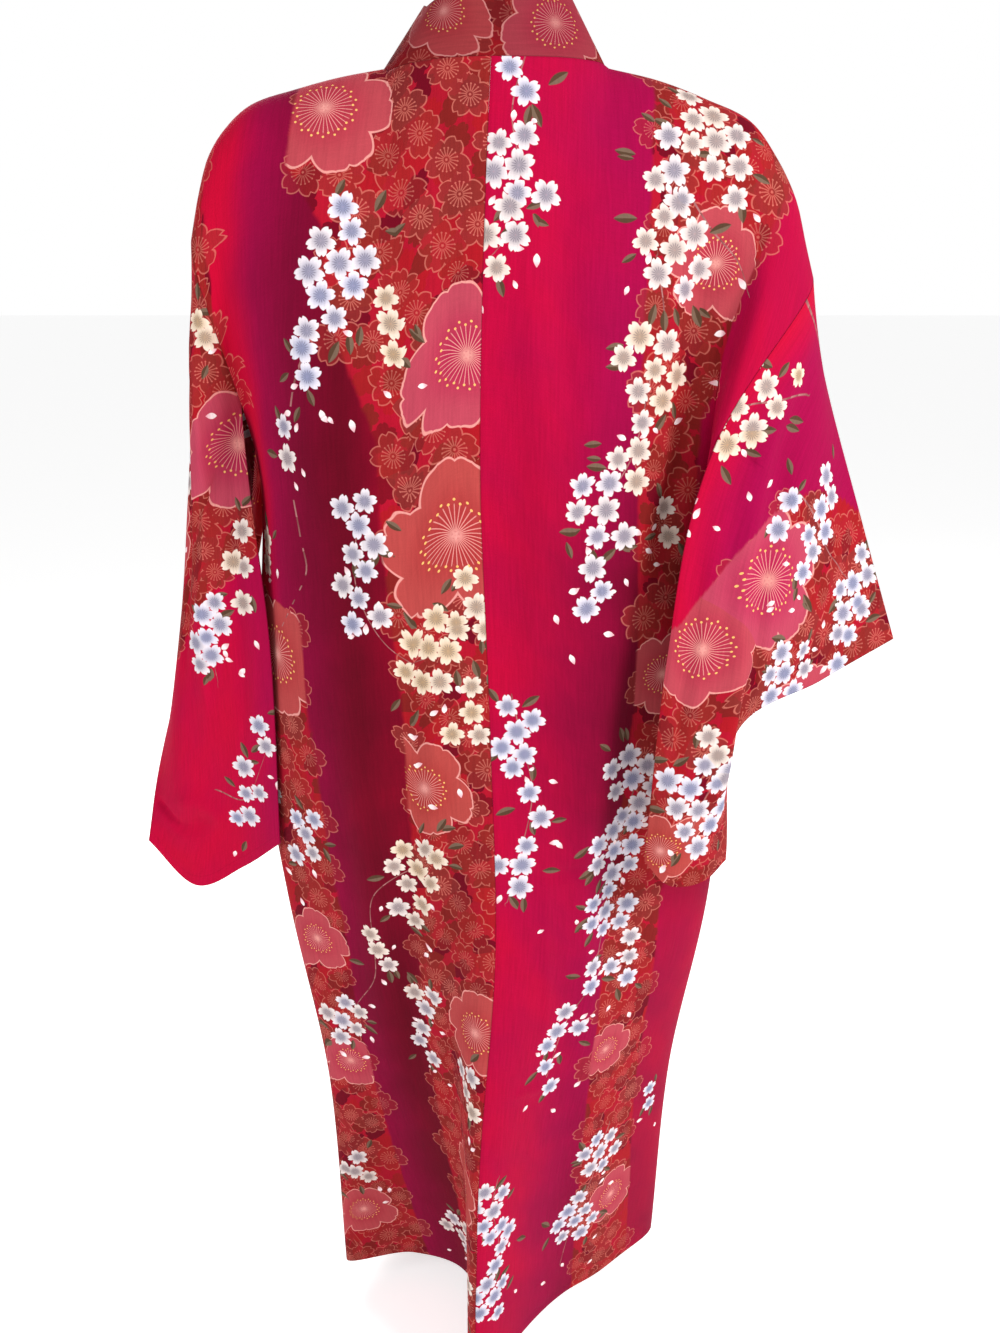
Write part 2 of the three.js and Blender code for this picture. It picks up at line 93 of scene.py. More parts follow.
# Level sections of the body, x and y at nine places, anticlockwise from the ridge at the centre back
PLACES = 9
SECTION_Z = [-400, -620, -850, -1120, -1430]
SECTIONS = np.array([
    [(-12, -112), (125, -98), (236, 0), (130, 104), (0, 122),
     (-130, 104), (-240, 0), (-137, -98), (-70, -110)],
    [(-4, -114), (133, -94), (250, 5), (135, 106), (0, 124),
     (-132, 104), (-249, 0), (-142, -90), (-72, -105)],
    [(0, -122), (130, -82), (248, 15), (135, 112), (0, 127),
     (-130, 108), (-232, 0), (-137, -62), (-62, -86)],
    [(-18, -135), (98, -58), (221, 46), (127, 126), (0, 131),
     (-125, 115), (-206, 8), (-120, -16), (-48, -54)],
    [(-26, -143), (100, -14), (217, 83), (125, 140), (0, 143),
     (-124, 124), (-203, 28), (-112, 38), (-34, -4)],
], float)
# Share of the shoulder's reach above each of those places
REACH_SHARES = np.array([0, 0.53, 1, 0.55, 0, -0.55, -1, -0.62, -0.3])

# Down the cloth, 0 is the shoulder line, 1 the underarm and 2 the hem
NECK_DOWN = 0.25
OKUMI_SEAM = -0.1
OKUMI_TIP_DOWN = 0.583
OKUMI_DOWN = 0.667
# The least width of the okumi, in places round the body, and the least at its tip
OKUMI_LEAST = 0.015
OKUMI_TIP_LEAST = 0.006
ARMHOLE_DOWN = 0.667
COLLAR_END_DOWN = 1.444
# The front edge, in steps past the centre front, negative on its own side
FRONT_EDGE_DOWN = [0, 0.35, 0.72, 1, 1.45, 2]
FRONT_EDGE_PAST = [None, -0.4, 0, 0.22, 0.95, 1]

# Sleeve sections from the armhole to the cuff: the back layer's points from the top fold to the bottom,
# and how far the front layer stands from them. Creases run over the flat cloth, as lines of its places.
SLEEVES = {
    "sleeve_right": {
        "side": RIGHT,
        "forward": (0.25, 0.97, 0),
        "stand": (34, 0, 0),
        "creases": [
            ([(30, 20), (58, 140), (78, 230), (84, 330), (84, 450)], 13, 7),
            ([(60, 40), (96, 150), (118, 240), (120, 330)], 16, -5),
            ([(16, 150), (26, 260), (30, 400)], 12, -5),
            ([(250, 10), (236, 110), (196, 200)], 16, 4),
            ([(60, -120), (80, -260), (70, -420)], 18, 6),
            ([(180, -60), (170, -180), (120, -300)], 16, -5),
        ],
        "sections": np.array([
            [(296, 0, -172), (186, -106, -318), (162, -128, -515), (150, -132, -730)],
            [(324, -5, -276), (270, -82, -360), (194, -134, -545), (174, -142, -752)],
            [(368, -18, -405), (304, -76, -465), (233, -126, -552), (210, -130, -755)],
            [(411, -30, -528), (331, -62, -562), (238, -110, -600), (238, -102, -746)],
        ], float),
        "depths": np.array([
            (0, 40, 24, BAG_SEAM_DEPTH),
            (0, 130, 34, BAG_SEAM_DEPTH),
            (0, 105, 34, BAG_SEAM_DEPTH),
            (0, 72, 6, BAG_SEAM_DEPTH),
        ], float),
    },
    "sleeve_left": {
        "side": LEFT,
        "forward": (0.62, 0.78, 0),
        "stand": (-22, 30, 0),
        "creases": [
            ([(60, 30), (96, 160), (118, 300), (130, 440)], 16, 5),
            ([(150, 60), (170, 200), (168, 340)], 18, -5),
            ([(238, 452), (180, 486), (120, 500)], 9, -5),
            ([(200, 440), (150, 468), (96, 520)], 9, 4),
            ([(30, 200), (46, 330), (60, 470)], 12, -4),
            ([(70, -100), (90, -260), (80, -420)], 18, 6),
            ([(190, -60), (180, -200), (140, -330)], 16, -5),
        ],
        "sections": np.array([
            [(-277, 0, -135), (-258, -14, -318), (-231, -44, -520), (-239, -26, -768)],
            [(-292, 18, -230), (-302, -24, -410), (-308, -14, -610), (-291, 6, -816)],
            [(-305, 78, -320), (-330, 14, -490), (-354, 4, -670), (-349, 12, -843)],
            [(-316, 150, -420), (-350, 82, -565), (-384, 40, -700), (-401, 22, -790)],
        ], float),
        "depths": np.array([
            (0, 75, 8, BAG_SEAM_DEPTH),
            (0, 105, 34, BAG_SEAM_DEPTH),
            (0, 100, 34, BAG_SEAM_DEPTH),
            (0, 80, 9, BAG_SEAM_DEPTH),
        ], float),
    },
}
ARMHOLE_SHARE = 0.37
# The top fold opens over this share of the drop, and the layers are apart this soon
FOLD_SHARE = 1 / 3
FOLD_ROUNDING = 0.62
LEAST_DEPTH_SHARE = 1 / 12
# The bottom seam starts to close this far down, by this much
CLOSING_FROM = 0.965
CLOSING_BY = 0.7
# How quickly the armhole's pull on the sleeve fades, along it and down its free edges
FADE_ALONG = 3
FADE_DOWN_BACK = 5
FADE_DOWN_FRONT = 2

# Grid steps of the cloth
BODY_COLUMNS = 56
OKUMI_COLUMNS = 26
COLLAR_COLUMNS = 14
SLEEVE_COLUMNS = 56
NECK_ROWS = 26
UPPER_ROWS = 58
LOWER_ROWS = 190
ARMHOLE_ROWS = 46
FREE_EDGE_ROWS = 70

# Soft folds all round: where round the body, how wide, between which levels and how high
FOLDS = [
    (1.5, 0.3, 0.2, 1.5, 9),
    (0.62, 0.3, 1.1, 2.4, -7),
    (1.2, 0.25, 1.35, 2.4, 7),
    (2.7, 0.3, 0.9, 2.4, 8),
    (3.4, 0.3, 0.15, 1.3, -5),
    (4.75, 0.3, 0.2, 1.5, -5),
    (5.3, 0.3, 1, 2.4, 8),
    (6.6, 0.3, 0.3, 1.6, 8),
    (7.5, 0.35, 0.1, 1.2, -6),
    (6.05, 0.2, 0.95, 1.7, 9),
]

# Creases seen from behind or in front, each a line of x and z points, the half width and the height
CREASES = {
    "back": [
        ([(52, -730), (56, -850), (60, -990)], 5, 2.6),
        ([(-5, -755), (60, -762), (140, -748)], 6, -2.8),
        ([(20, -1030), (60, -1045)], 6, 2.4),
        ([(90, -560), (100, -800), (104, -1100), (112, -1380)], 16, 5),
        ([(30, -120), (44, -330), (40, -600)], 16, 4),
        ([(-60, -430), (-62, -700), (-70, -1000)], 14, 4),
        ([(-150, -520), (-138, -800), (-130, -1150)], 14, 4),
        ([(-100, -420), (-94, -760), (-90, -1200)], 20, -6),
        ([(150, -480), (140, -700), (120, -980)], 26, -9),
        ([(-150, -60), (-172, -220), (-160, -420)], 16, 5),
        ([(196, -110), (184, -200), (172, -330), (156, -460)], 14, -12),
        ([(-60, -30), (-40, -140), (-50, -300)], 18, -4),
        ([(70, -40), (60, -160), (66, -330)], 18, -4),
    ],
    "front": [
        ([(120, -120), (96, -330), (100, -620)], 20, 6),
        ([(-110, -140), (-92, -360), (-110, -640)], 20, 6),
        ([(60, -650), (52, -950), (64, -1300)], 22, 7),
        ([(-70, -700), (-60, -1000), (-80, -1320)], 22, -7),
        ([(150, -700), (146, -1000), (140, -1300)], 18, -5),
        ([(-160, -760), (-150, -1050), (-150, -1330)], 18, 5),
    ],
}


# Arithmetic on arrays
def lerp(a, b, t):
    return a + (b - a) * t


def smoothstep(value):
    t = np.clip(value, 0, 1)
    return t * t * (3 - 2 * t)


def hermite(start, start_slope, end, end_slope, t):
    t2 = t * t
    t3 = t2 * t
    return (
        (2 * t3 - 3 * t2 + 1) * start + (t3 - 2 * t2 + t) * start_slope
        + (3 * t2 - 2 * t3) * end + (t3 - t2) * end_slope
    )


def cubic(a, b, c, d, t):
    return hermite(b, (c - a) / 2, c, (d - b) / 2, t)


def unit(vectors):
    return vectors / np.maximum(np.linalg.norm(vectors, axis=-1, keepdims=True), 1e-9)


def table_value(places, values, at):
    """A smooth value from columns that rise or fall steadily with their places."""
    places = np.asarray(places, float)
    values = np.asarray(values, float)
    at = np.asarray(at, float)
    rising = 1 if places[-1] > places[0] else -1
    k = np.clip(np.searchsorted(places * rising, at * rising) - 1, 0, len(places) - 2)
    before = np.maximum(np.arange(len(places)) - 1, 0)
    after = np.minimum(np.arange(len(places)) + 1, len(places) - 1)
    slopes = (values[after] - values[before]) / (places[after] - places[before])
    span = places[k + 1] - places[k]
    t = np.clip((at - places[k]) / span, 0, 1)
    return hermite(values[k], slopes[k] * span, values[k + 1], slopes[k + 1] * span, t)


# The body's outer face
def section_point(around, z):
    around, z = np.broadcast_arrays(np.asarray(around, float), np.asarray(z, float))
    base = np.floor(around).astype(int)
    t = around - base
    axes = []
    for axis in range(2):
        columns = np.stack([table_value(SECTION_Z, SECTIONS[:, place, axis], z) for place in range(PLACES)])
        near = [np.take_along_axis(columns, ((base + step) % PLACES)[None], 0)[0] for step in (-1, 0, 1, 2)]
        axes.append(cubic(*near, t))
    return np.stack([*axes, z], -1)


def reach_share(around):
    base = np.floor(around).astype(int)
    return lerp(REACH_SHARES[base % PLACES], REACH_SHARES[(base + 1) % PLACES], around - base)


def shoulder_height(signed):
    share = np.abs(signed)
    start = SHOULDER_REACH[0]
    by_neck = NECK_RAISE * (1 - (share / start) ** 2)
    right = -RIGHT["drop"] * table_value(SHOULDER_REACH, RIGHT_DROP, share)
    left = -LEFT["drop"] * table_value(SHOULDER_REACH, LEFT_DROP, share)
    return np.where(share < start, by_neck, np.where(signed < 0, left, right))


def swell(around, down, place, width, start, end):
    """1 in the middle of a fold, fading round the body and towards both of its ends."""
    share = np.clip((down - start) / (end - start), 0, 1)
    return np.sin(np.pi * share) ** 2 * np.exp(-(((around - place) / width) ** 2))


def side_pull(around, down):
    total = np.zeros(np.broadcast(around, down).shape + (3,))
    for place, width, start, end, by in SIDE_PULLS:
        total += swell(around, down, place, width, start, end)[..., None] * np.array(by)
    return total


def body_point(front, around, down):
    """Below the underarm a point lies on the sections, above it rolls from the shoulder line to the first."""
    around, down = np.broadcast_arrays(np.asarray(around, float), np.asarray(down, float))
    below = section_point(around, lerp(UNDERARM_Z, HEM_Z, np.maximum(down, 1) - 1))
    signed = reach_share(around)
    share = np.abs(signed)
    reach = np.where(signed < 0, LEFT["reach"], RIGHT["reach"])
    top_z = shoulder_height(signed)
    foot = section_point(around, UNDERARM_Z)
    lean = section_point(around, UNDERARM_Z - 1) - foot
    pull = (1 if front else -1) * (SHOULDER_PULL + ARM_PULL * share ** 3)
    fall = FALL_SHARE * (top_z - UNDERARM_Z)
    above = np.stack([
        hermite(signed * reach, 0, foot[..., 0], lean[..., 0] * fall, down),
        hermite(0, pull, foot[..., 1], lean[..., 1] * fall, down),
        hermite(top_z, 0, foot[..., 2], lean[..., 2] * fall, down),
    ], -1)
    return np.where((down >= 1)[..., None], below, above) + side_pull(around, down)


def panel_middle(side, front):
    return (side["side"] + (FRONT_CENTRE if front else side["centre"])) / 2


def body_normal(side, front, around, down):
    inward = np.where(panel_middle(side, front) >= around, 1, -1)
    rise = np.where(down > 1, -NORMAL_STEP, NORMAL_STEP)
    here = body_point(front, around, down)
    across = (body_point(front, around + inward * NORMAL_STEP, down) - here) * inward[..., None]
    along = (body_point(front, around, down + rise) - here) * np.sign(rise)[..., None]
    return unit(np.cross(along, across))


def fold_height(around, down):
    total = np.zeros(np.broadcast(around, down).shape)
    for place, width, start, end, height in FOLDS:
        total += height * swell(around, down, place, width, start, end)
    return total


def crease_height(creases, place):
    """Height of the listed creases, each of which fades out towards its ends."""
    total = np.zeros(place.shape[:-1])
    for points, width, height in creases:
        line = np.array(points, float)
        lengths = np.linalg.norm(np.diff(line, axis=0), axis=1)
        nearest = np.full(total.shape, 1e9)
        along = np.zeros(total.shape)
        for k, length in enumerate(lengths):
            step = (line[k + 1] - line[k]) / length
            share = np.clip((place - line[k]) @ step, 0, length)
            distance = np.linalg.norm(place - line[k] - share[..., None] * step, axis=-1)
            closer = distance < nearest
            nearest = np.where(closer, distance, nearest)
            along = np.where(closer, (share + lengths[:k].sum()) / lengths.sum(), along)
        fade = smoothstep(along * 4) * smoothstep((1 - along) * 4)
        total += height * fade * np.exp(-((nearest / width) ** 2))
    return total


def lap_at(side, front, around, down):
    if side is not LEFT or not front:
        return 0
    return FRONT_LAP * smoothstep((LAP_FROM - around) / LAP_WITHIN) * smoothstep(down / LAP_DOWN)


def cloth_point(side, front, around, down):
    around, down = np.broadcast_arrays(np.asarray(around, float), np.asarray(down, float))
    point = body_point(front, around, down)
    normal = body_normal(side, front, around, down)
    height = lap_at(side, front, around, down) + fold_height(around, down)
    facing = normal[..., 1] if front else -normal[..., 1]
    creased = crease_height(CREASES["front" if front else "back"], point[..., [0, 2]])
    height = height + creased * smoothstep(facing * 3)
    return point + normal * height[..., None], normal


def neck_share(side):
    return NECK_HALF_WIDTH / side["reach"]


def front_edge(side, down):
    past = [-neck_share(side) / REACH_SHARES[3], *FRONT_EDGE_PAST[1:]]
    return table_value(FRONT_EDGE_DOWN, past, down)


def front_around(side, past):
    return FRONT_CENTRE + side["front_step"] * past


def okumi_seam(side, down):
    """The seam between the front panel and the okumi, which starts as a point at the front edge."""
    seam = np.minimum(OKUMI_SEAM, front_edge(side, down) - OKUMI_LEAST)
    share = np.clip((down - OKUMI_TIP_DOWN) / (OKUMI_DOWN - OKUMI_TIP_DOWN), 0, 1)
    start = lerp(front_edge(side, down), seam, share)
    return np.where(down < OKUMI_DOWN, start, seam)


def neck_around(side, down):
    share = neck_share(side) * np.sqrt(np.maximum(0, 1 - (down / NECK_DOWN) ** 2))
    if side is RIGHT:
        return share / REACH_SHARES[1]
    hollow = -REACH_SHARES[8]
    back = -REACH_SHARES[7]
    return np.where(
        share < hollow,
        side["centre"] - share / hollow,
        side["centre"] - 1 - (share - hollow) / (back - hollow),
    )


def moved_in(front, around, down, inward, distance):
    """Around, moved by a distance in millimetres along the section."""
    here = body_point(front, around, down)
    there = body_point(front, around + inward * LENGTH_STEP, down)
    steps = distance * LENGTH_STEP / np.maximum(np.linalg.norm(there - here, axis=-1), LEAST_LENGTH)
    return around + inward * np.minimum(steps, MOST_STEPS_IN)


def grid_lengths(points, axis):
    """Lengths run along one axis of a grid, from nought at its start."""
    run = np.cumsum(np.linalg.norm(np.diff(points, axis=axis), axis=-1), axis=axis)
    return np.concatenate([np.zeros_like(run.take([0], axis)), run], axis)


# Flat cloth coordinates: u across from the panel's centre line and v along the threads from the shoulder
MAP_ACROSS = 64
MAP_DOWN = 200


def cloth_map(side, front):
    centre = FRONT_CENTRE if front else side["centre"]
    inner = front_around(side, 1) if front else centre
    arounds = np.linspace(inner, side["side"], MAP_ACROSS + 1)
    downs = np.linspace(0, 2, MAP_DOWN + 1)
    points = body_point(front, arounds[None], downs[:, None])
    u = grid_lengths(points, 1)
    v = grid_lengths(points, 0)
    start = (centre - inner) / (side["side"] - inner) * MAP_ACROSS
    u -= bilinear(u, np.full(MAP_DOWN + 1, start), np.arange(MAP_DOWN + 1.0))[:, None]
    return {"inner": inner, "u": u, "v": v if not front else -v}


def bilinear(grid, column, row):
    j = np.clip(np.floor(column).astype(int), 0, grid.shape[1] - 2)
    i = np.clip(np.floor(row).astype(int), 0, grid.shape[0] - 2)
    s = column - j
    t = row - i
    return lerp(lerp(grid[i, j], grid[i, j + 1], s), lerp(grid[i + 1, j], grid[i + 1, j + 1], s), t)


MAPS = {(side["sign"], front): cloth_map(side, front) for side in (LEFT, RIGHT) for front in (False, True)}


def flat_place(side, front, around, down):
    around, down = np.broadcast_arrays(np.asarray(around, float), np.asarray(down, float))
    chart = MAPS[side["sign"], front]
    column = (around - chart["inner"]) / (side["side"] - chart["inner"]) * MAP_ACROSS
    row = down / 2 * MAP_DOWN
    return np.stack([bilinear(chart["u"], column, row), bilinear(chart["v"], column, row)], -1)


# The pieces' grids
def levels(first=0.0, last=2.0):
    neck = NECK_DOWN * np.sin(np.linspace(0, np.pi / 2, NECK_ROWS + 1))
    upper = np.linspace(NECK_DOWN, 1, UPPER_ROWS + 1)[1:]
    lower = np.linspace(1, 2, LOWER_ROWS + 1)[1:]
    every = np.concatenate([neck, upper, lower])
    inside = every[(every > first + 1e-3) & (every < last - 1e-3)]
    return np.concatenate([[first], inside, [last]])


def grid_row_set(side, front, inner, outer, downs, columns):
    shares = np.linspace(0, 1, columns + 1)
    arounds = lerp(inner[:, None], outer[:, None], shares[None])
    point, normal = cloth_point(side, front, arounds, downs[:, None])
    return point, normal, flat_place(side, front, arounds, downs[:, None])


def body_half(side, front, downs):
    inward = np.sign(panel_middle(side, front) - side["side"])
    if front:
        past = np.where(downs < OKUMI_TIP_DOWN, front_edge(side, downs), okumi_seam(side, downs))
        inner = front_around(side, past)
    else:
        inner = np.where(downs > NECK_DOWN, side["centre"], neck_around(side, downs))
    seam = moved_in(front, inner, downs, -inward, SEAM_GAP / 2)
    outer = moved_in(front, float(side["side"]), downs, inward, SEAM_GAP / 2)
    return grid_row_set(side, front, seam, outer, downs, BODY_COLUMNS)


def body_panel(side):
    downs = levels()
    back = body_half(side, False, downs[:0:-1])
    front = body_half(side, True, downs)
    return [np.concatenate(pair) for pair in zip(back, front)]


def okumi_panel(side):
    downs = levels(OKUMI_TIP_DOWN)
    edge = front_edge(side, downs)
    seam = np.minimum(okumi_seam(side, downs), edge - OKUMI_TIP_LEAST)
    inner = moved_in(True, front_around(side, seam), downs, side["front_step"], SEAM_GAP / 2)
    outer = moved_in(True, front_around(side, edge), downs, -side["front_step"], SEAM_GAP / 2)
    return grid_row_set(side, True, inner, outer, downs, OKUMI_COLUMNS)


def collar_half(side, front, downs):
    around = front_around(side, front_edge(side, downs)) if front else neck_around(side, downs)
    seam, _ = cloth_point(side, front, around, downs)
    turn = np.clip(np.abs(seam[:, 0]) / NECK_HALF_WIDTH, 0, 1)
    standing = unit(np.stack([
        -side["sign"] * side["lean"] * turn,
        STANDING_BACK - STANDING_TURN * turn,
        np.full(turn.shape, STANDING_UP),
    ], -1))
    widths = SEAM_GAP / 2 + COLLAR_WIDTH * np.linspace(0, 1, COLLAR_COLUMNS + 1)
    raised = seam[:, None] + standing[:, None] * widths[None, :, None]
    if not front:
        return raised
    there = body_point(front, around + side["front_step"] * LENGTH_STEP, downs)
    apart = np.linalg.norm(there - body_point(front, around, downs), axis=-1)
    per_millimetre = LENGTH_STEP / np.maximum(apart, LEAST_LENGTH)
    slant = math.hypot(1, COLLAR_SLANT)
    across = around[:, None] + side["front_step"] * widths[None] * slant * per_millimetre[:, None]
    flat, _ = cloth_point(side, True, across, downs[:, None])
    return lerp(raised, flat, smoothstep(downs / COLLAR_LIES_DOWN)[:, None, None])


def collar_band():
    halves = []
    for side in (LEFT, RIGHT):
        back = collar_half(side, False, levels(0.0, NECK_DOWN)[:0:-1])
        front = collar_half(side, True, levels(0.0, COLLAR_END_DOWN))
        halves.append(np.concatenate([back, front]))
    points = np.concatenate([halves[0][::-1], halves[1][1:]])
    return points, grid_normals(points), run_lengths(points)


def grid_normals(points):
    along = np.gradient(points, axis=0)
    across = np.gradient(points, axis=1)
    return unit(np.cross(along, across))


def run_lengths(points):
    """Flat coordinates of a grid: across along each row, and along its middle column."""
    u = grid_lengths(points, 1)
    v = grid_lengths(points, 0)[:, points.shape[1] // 2]
    return np.stack([u, np.broadcast_to(v[:, None], u.shape)], -1)


def patch_weights(share):
    basis = np.eye(4)
    ends = np.vstack([2 * basis[0] - basis[1], basis, 2 * basis[3] - basis[2]])
    at = np.clip(share, 0, 1) * 3
    k = np.minimum(np.floor(at).astype(int), 2)
    return cubic(ends[k], ends[k + 1], ends[k + 2], ends[k + 3], (at - k)[..., None])


def sleeve_patch(shape, along, round_):
    """Round runs from -1 at the back's bottom seam over the fold to 1 at the front's."""
    drop = np.abs(round_)
    weights = np.einsum("...i,...j->...ij", patch_weights(along), patch_weights(drop))
    point = np.einsum("...ij,ijk->...k", weights, shape["sections"])
    depth = np.einsum("...ij,ij->...", weights, shape["depths"])
    rounding = np.maximum(np.minimum(1, drop / FOLD_SHARE), 1e-6) ** (FOLD_ROUNDING - 1)
    least = BAG_SEAM_DEPTH * np.minimum(1, drop / LEAST_DEPTH_SHARE)
    closing = 1 - CLOSING_BY * smoothstep((drop - CLOSING_FROM) / (1 - CLOSING_FROM))
    stand = np.where(round_ > 0, np.maximum(depth * rounding, least) * closing, 0)
    return point + stand[..., None] * np.array(shape["forward"])


def armhole(side, round_):
    down = ARMHOLE_DOWN * np.minimum(1, np.abs(round_) / ARMHOLE_SHARE)
    edge = np.zeros(round_.shape + (3,))
    normal = np.zeros(edge.shape)
    outwards = np.zeros(edge.shape)
    for front in (False, True):
        here = (round_ > 0) == front
        inward = np.sign(panel_middle(side, front) - side["side"])
        around = moved_in(front, float(side["side"]), down[here], inward, SEAM_GAP / 2)
        point, out = cloth_point(side, front, around, down[here])
        inside, _ = cloth_point(side, front, around + inward * ARMHOLE_STEP_IN, down[here])
        away = unit(point - inside)
        edge[here] = point + ARMHOLE_GAP * away
        normal[here] = out
        outwards[here] = away
    return edge, normal, outwards


def sleeve_cloth(shape):
    side = shape["side"]
    downs = levels(0.0, ARMHOLE_DOWN)[1:]
    picked = downs[np.round(np.linspace(0, len(downs) - 1, ARMHOLE_ROWS)).astype(int)]
    half = np.concatenate([
        ARMHOLE_SHARE * picked / ARMHOLE_DOWN,
        np.linspace(ARMHOLE_SHARE, 1, FREE_EDGE_ROWS + 1)[1:],
    ])
    rounds = np.concatenate([-half[::-1], [0], half])
    along = np.linspace(0, 1, SLEEVE_COLUMNS + 1)
    a, r = np.meshgrid(along, rounds)
    points = sleeve_patch(shape, a, r)
    held = np.sign(rounds) * np.minimum(np.abs(rounds), ARMHOLE_SHARE)
    edge, seam_normal, outwards = armhole(side, rounds)
    shift = edge - sleeve_patch(shape, np.zeros(rounds.shape), held)
    free = np.clip((np.abs(r) - ARMHOLE_SHARE) / (1 - ARMHOLE_SHARE), 0, 1)
    fade = (1 - a) ** FADE_ALONG * (1 - free) ** np.where(r > 0, FADE_DOWN_FRONT, FADE_DOWN_BACK)
    points = points + shift[:, None] * fade[..., None]
    # Below the armhole the front layer stands away from the body
    stand = np.where(r > 0, 4 * free * (1 - free) * (1 - a) ** 2, 0)
    points = points + stand[..., None] * np.array(shape["stand"])
    normals = grid_normals(points) * -side["sign"]
    turned = (np.abs(rounds) <= ARMHOLE_SHARE) & (np.sum(normals[:, 0] * outwards, -1) > 0)
    normals[turned, 0] = seam_normal[turned]
    flat = run_lengths(points)
    fold = len(half)
    flat[..., 1] = flat[fold, 0, 1] - flat[..., 1]
    # The creases fade out by the armhole, the cuff and the bottom seam
    by_edge = smoothstep(a * 9) * smoothstep((1 - a) * 12) * smoothstep((1 - np.abs(r)) * 14)
    points = points + normals * (crease_height(shape["creases"], flat) * by_edge)[..., None]
    return points, normals, flat


# Meshes
def sheet_mesh(name, points, normals, flat, wall):
    """A closed thin sheet from a grid of outer points, with its flat coordinates as its UV map, in metres."""
    rows, columns = points.shape[:2]
    count = rows * columns
    outer = points.reshape(-1, 3)
    inner = (points - wall * normals).reshape(-1, 3)
    i, j = np.meshgrid(np.arange(rows - 1), np.arange(columns - 1), indexing="ij")
    a = (i * columns + j).ravel()
    front = np.stack([a, a + columns, a + columns + 1, a + 1], -1)
    back = front[:, ::-1] + count
    ring = np.concatenate([
        np.arange(columns - 1),
        np.arange(rows - 1) * columns + columns - 1,
        np.arange(count - 1, count - columns, -1),
        np.arange(rows - 1, 0, -1) * columns,
    ])
    following = np.roll(ring, -1)
    rim = np.stack([ring, following, following + count, ring + count], -1)
    faces = np.concatenate([front, back, rim])
    vertices = np.concatenate([outer, inner]) * METRE
    corner = vertices[faces]
    volume = np.sum(corner[:, 0] * np.cross(corner[:, 1], corner[:, 2]))
    volume += np.sum(corner[:, 0] * np.cross(corner[:, 2], corner[:, 3]))
    if volume < 0:
        faces = faces[:, ::-1]
    mesh = bpy.data.meshes.new(name)
    mesh.from_pydata(vertices, [], faces.tolist())
    mesh.uv_layers.new(name="cloth")
    flat_vertices = np.concatenate([flat.reshape(-1, 2)] * 2)
    corners = (flat_vertices[faces] * METRE).astype(np.float32)
    mesh.uv_layers["cloth"].uv.foreach_set("vector", corners.ravel())
    mesh.polygons.foreach_set("use_smooth", np.ones(len(faces), bool))
    mesh.set_sharp_from_angle(angle=math.radians(60))
    mesh.update()
    return mesh, faces, flat_vertices


def add_piece(name, mesh):
    piece = bpy.data.objects.new(name, mesh)
    bpy.context.scene.collection.objects.link(piece)
    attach(piece, "root")
    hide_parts(name.removeprefix("cloth_"))
    return piece


PIECES = {}
GRIDS = {
    "body_left": (body_panel(LEFT), CLOTH_WALL, "cloth"),
    "body_right": (body_panel(RIGHT), CLOTH_WALL, "cloth"),
    "okumi_left": (okumi_panel(LEFT), CLOTH_WALL, "cloth"),
    "okumi_right": (okumi_panel(RIGHT), CLOTH_WALL, "cloth"),
    "collar": (collar_band(), COLLAR_WALL, "collar_cloth"),
    "sleeve_left": (sleeve_cloth(SLEEVES["sleeve_left"]), CLOTH_WALL, "cloth"),
    "sleeve_right": (sleeve_cloth(SLEEVES["sleeve_right"]), CLOTH_WALL, "cloth"),
}
for node, ((points, normals, flat), wall, slot) in GRIDS.items():
    mesh, faces, flat_vertices = sheet_mesh("cloth_" + node, points, normals, flat, wall)
    PIECES[node] = {
        "piece": add_piece("cloth_" + node, mesh),
        "faces": faces,
        "points": points,
        "flat_grid": flat,
        "flat": flat_vertices,
    }

# The print, in millimetres on the flat cloth: across from the centre line and along from the shoulder
NOWHERE = (9, 9, 0)
LAYERS = {"blossom": 5, "scrap": 3, "medium": 4, "large": 3, "branch": 1}
BLOSSOM_RADIUS = 14
BLOSSOM_PITCH = 26
LEAF_REACH = 9.5
PETAL_REACH = 5
MEDIUM_PITCH = 40
MEDIUM_RADIUS = 22
MEDIUM_JITTER = 6
# An outlined flower is laid where at least this share of the cloth is band
LEAST_BAND_SHARE = 0.35
# The pitch of a spray's rows as a share of the blossoms', how far a blossom strays, and the leaves' margin
SPRAY_ROWS = 0.87
SPRAY_JITTER = 2.5
SPRAY_MARGIN = 17
# How near to a branch a face lies to be marked, and how far off the cloth a motif's middle may be
BRANCH_REACH = 8
MOST_OFF_CLOTH = 25
# How many faces to either side the cloth's stretch is measured over
FACES_ASIDE = 3
# The fronts of the bodies repeat their backs' rows, from this far over the shoulder and a little closer
TURNED_OVER = ("body_left", "body_right")
FLOWERS_OVER = 40
FLOWERS_CLOSER = 0.95
SPRAYS_OVER = 70
SPRAYS_CLOSER = 0.93

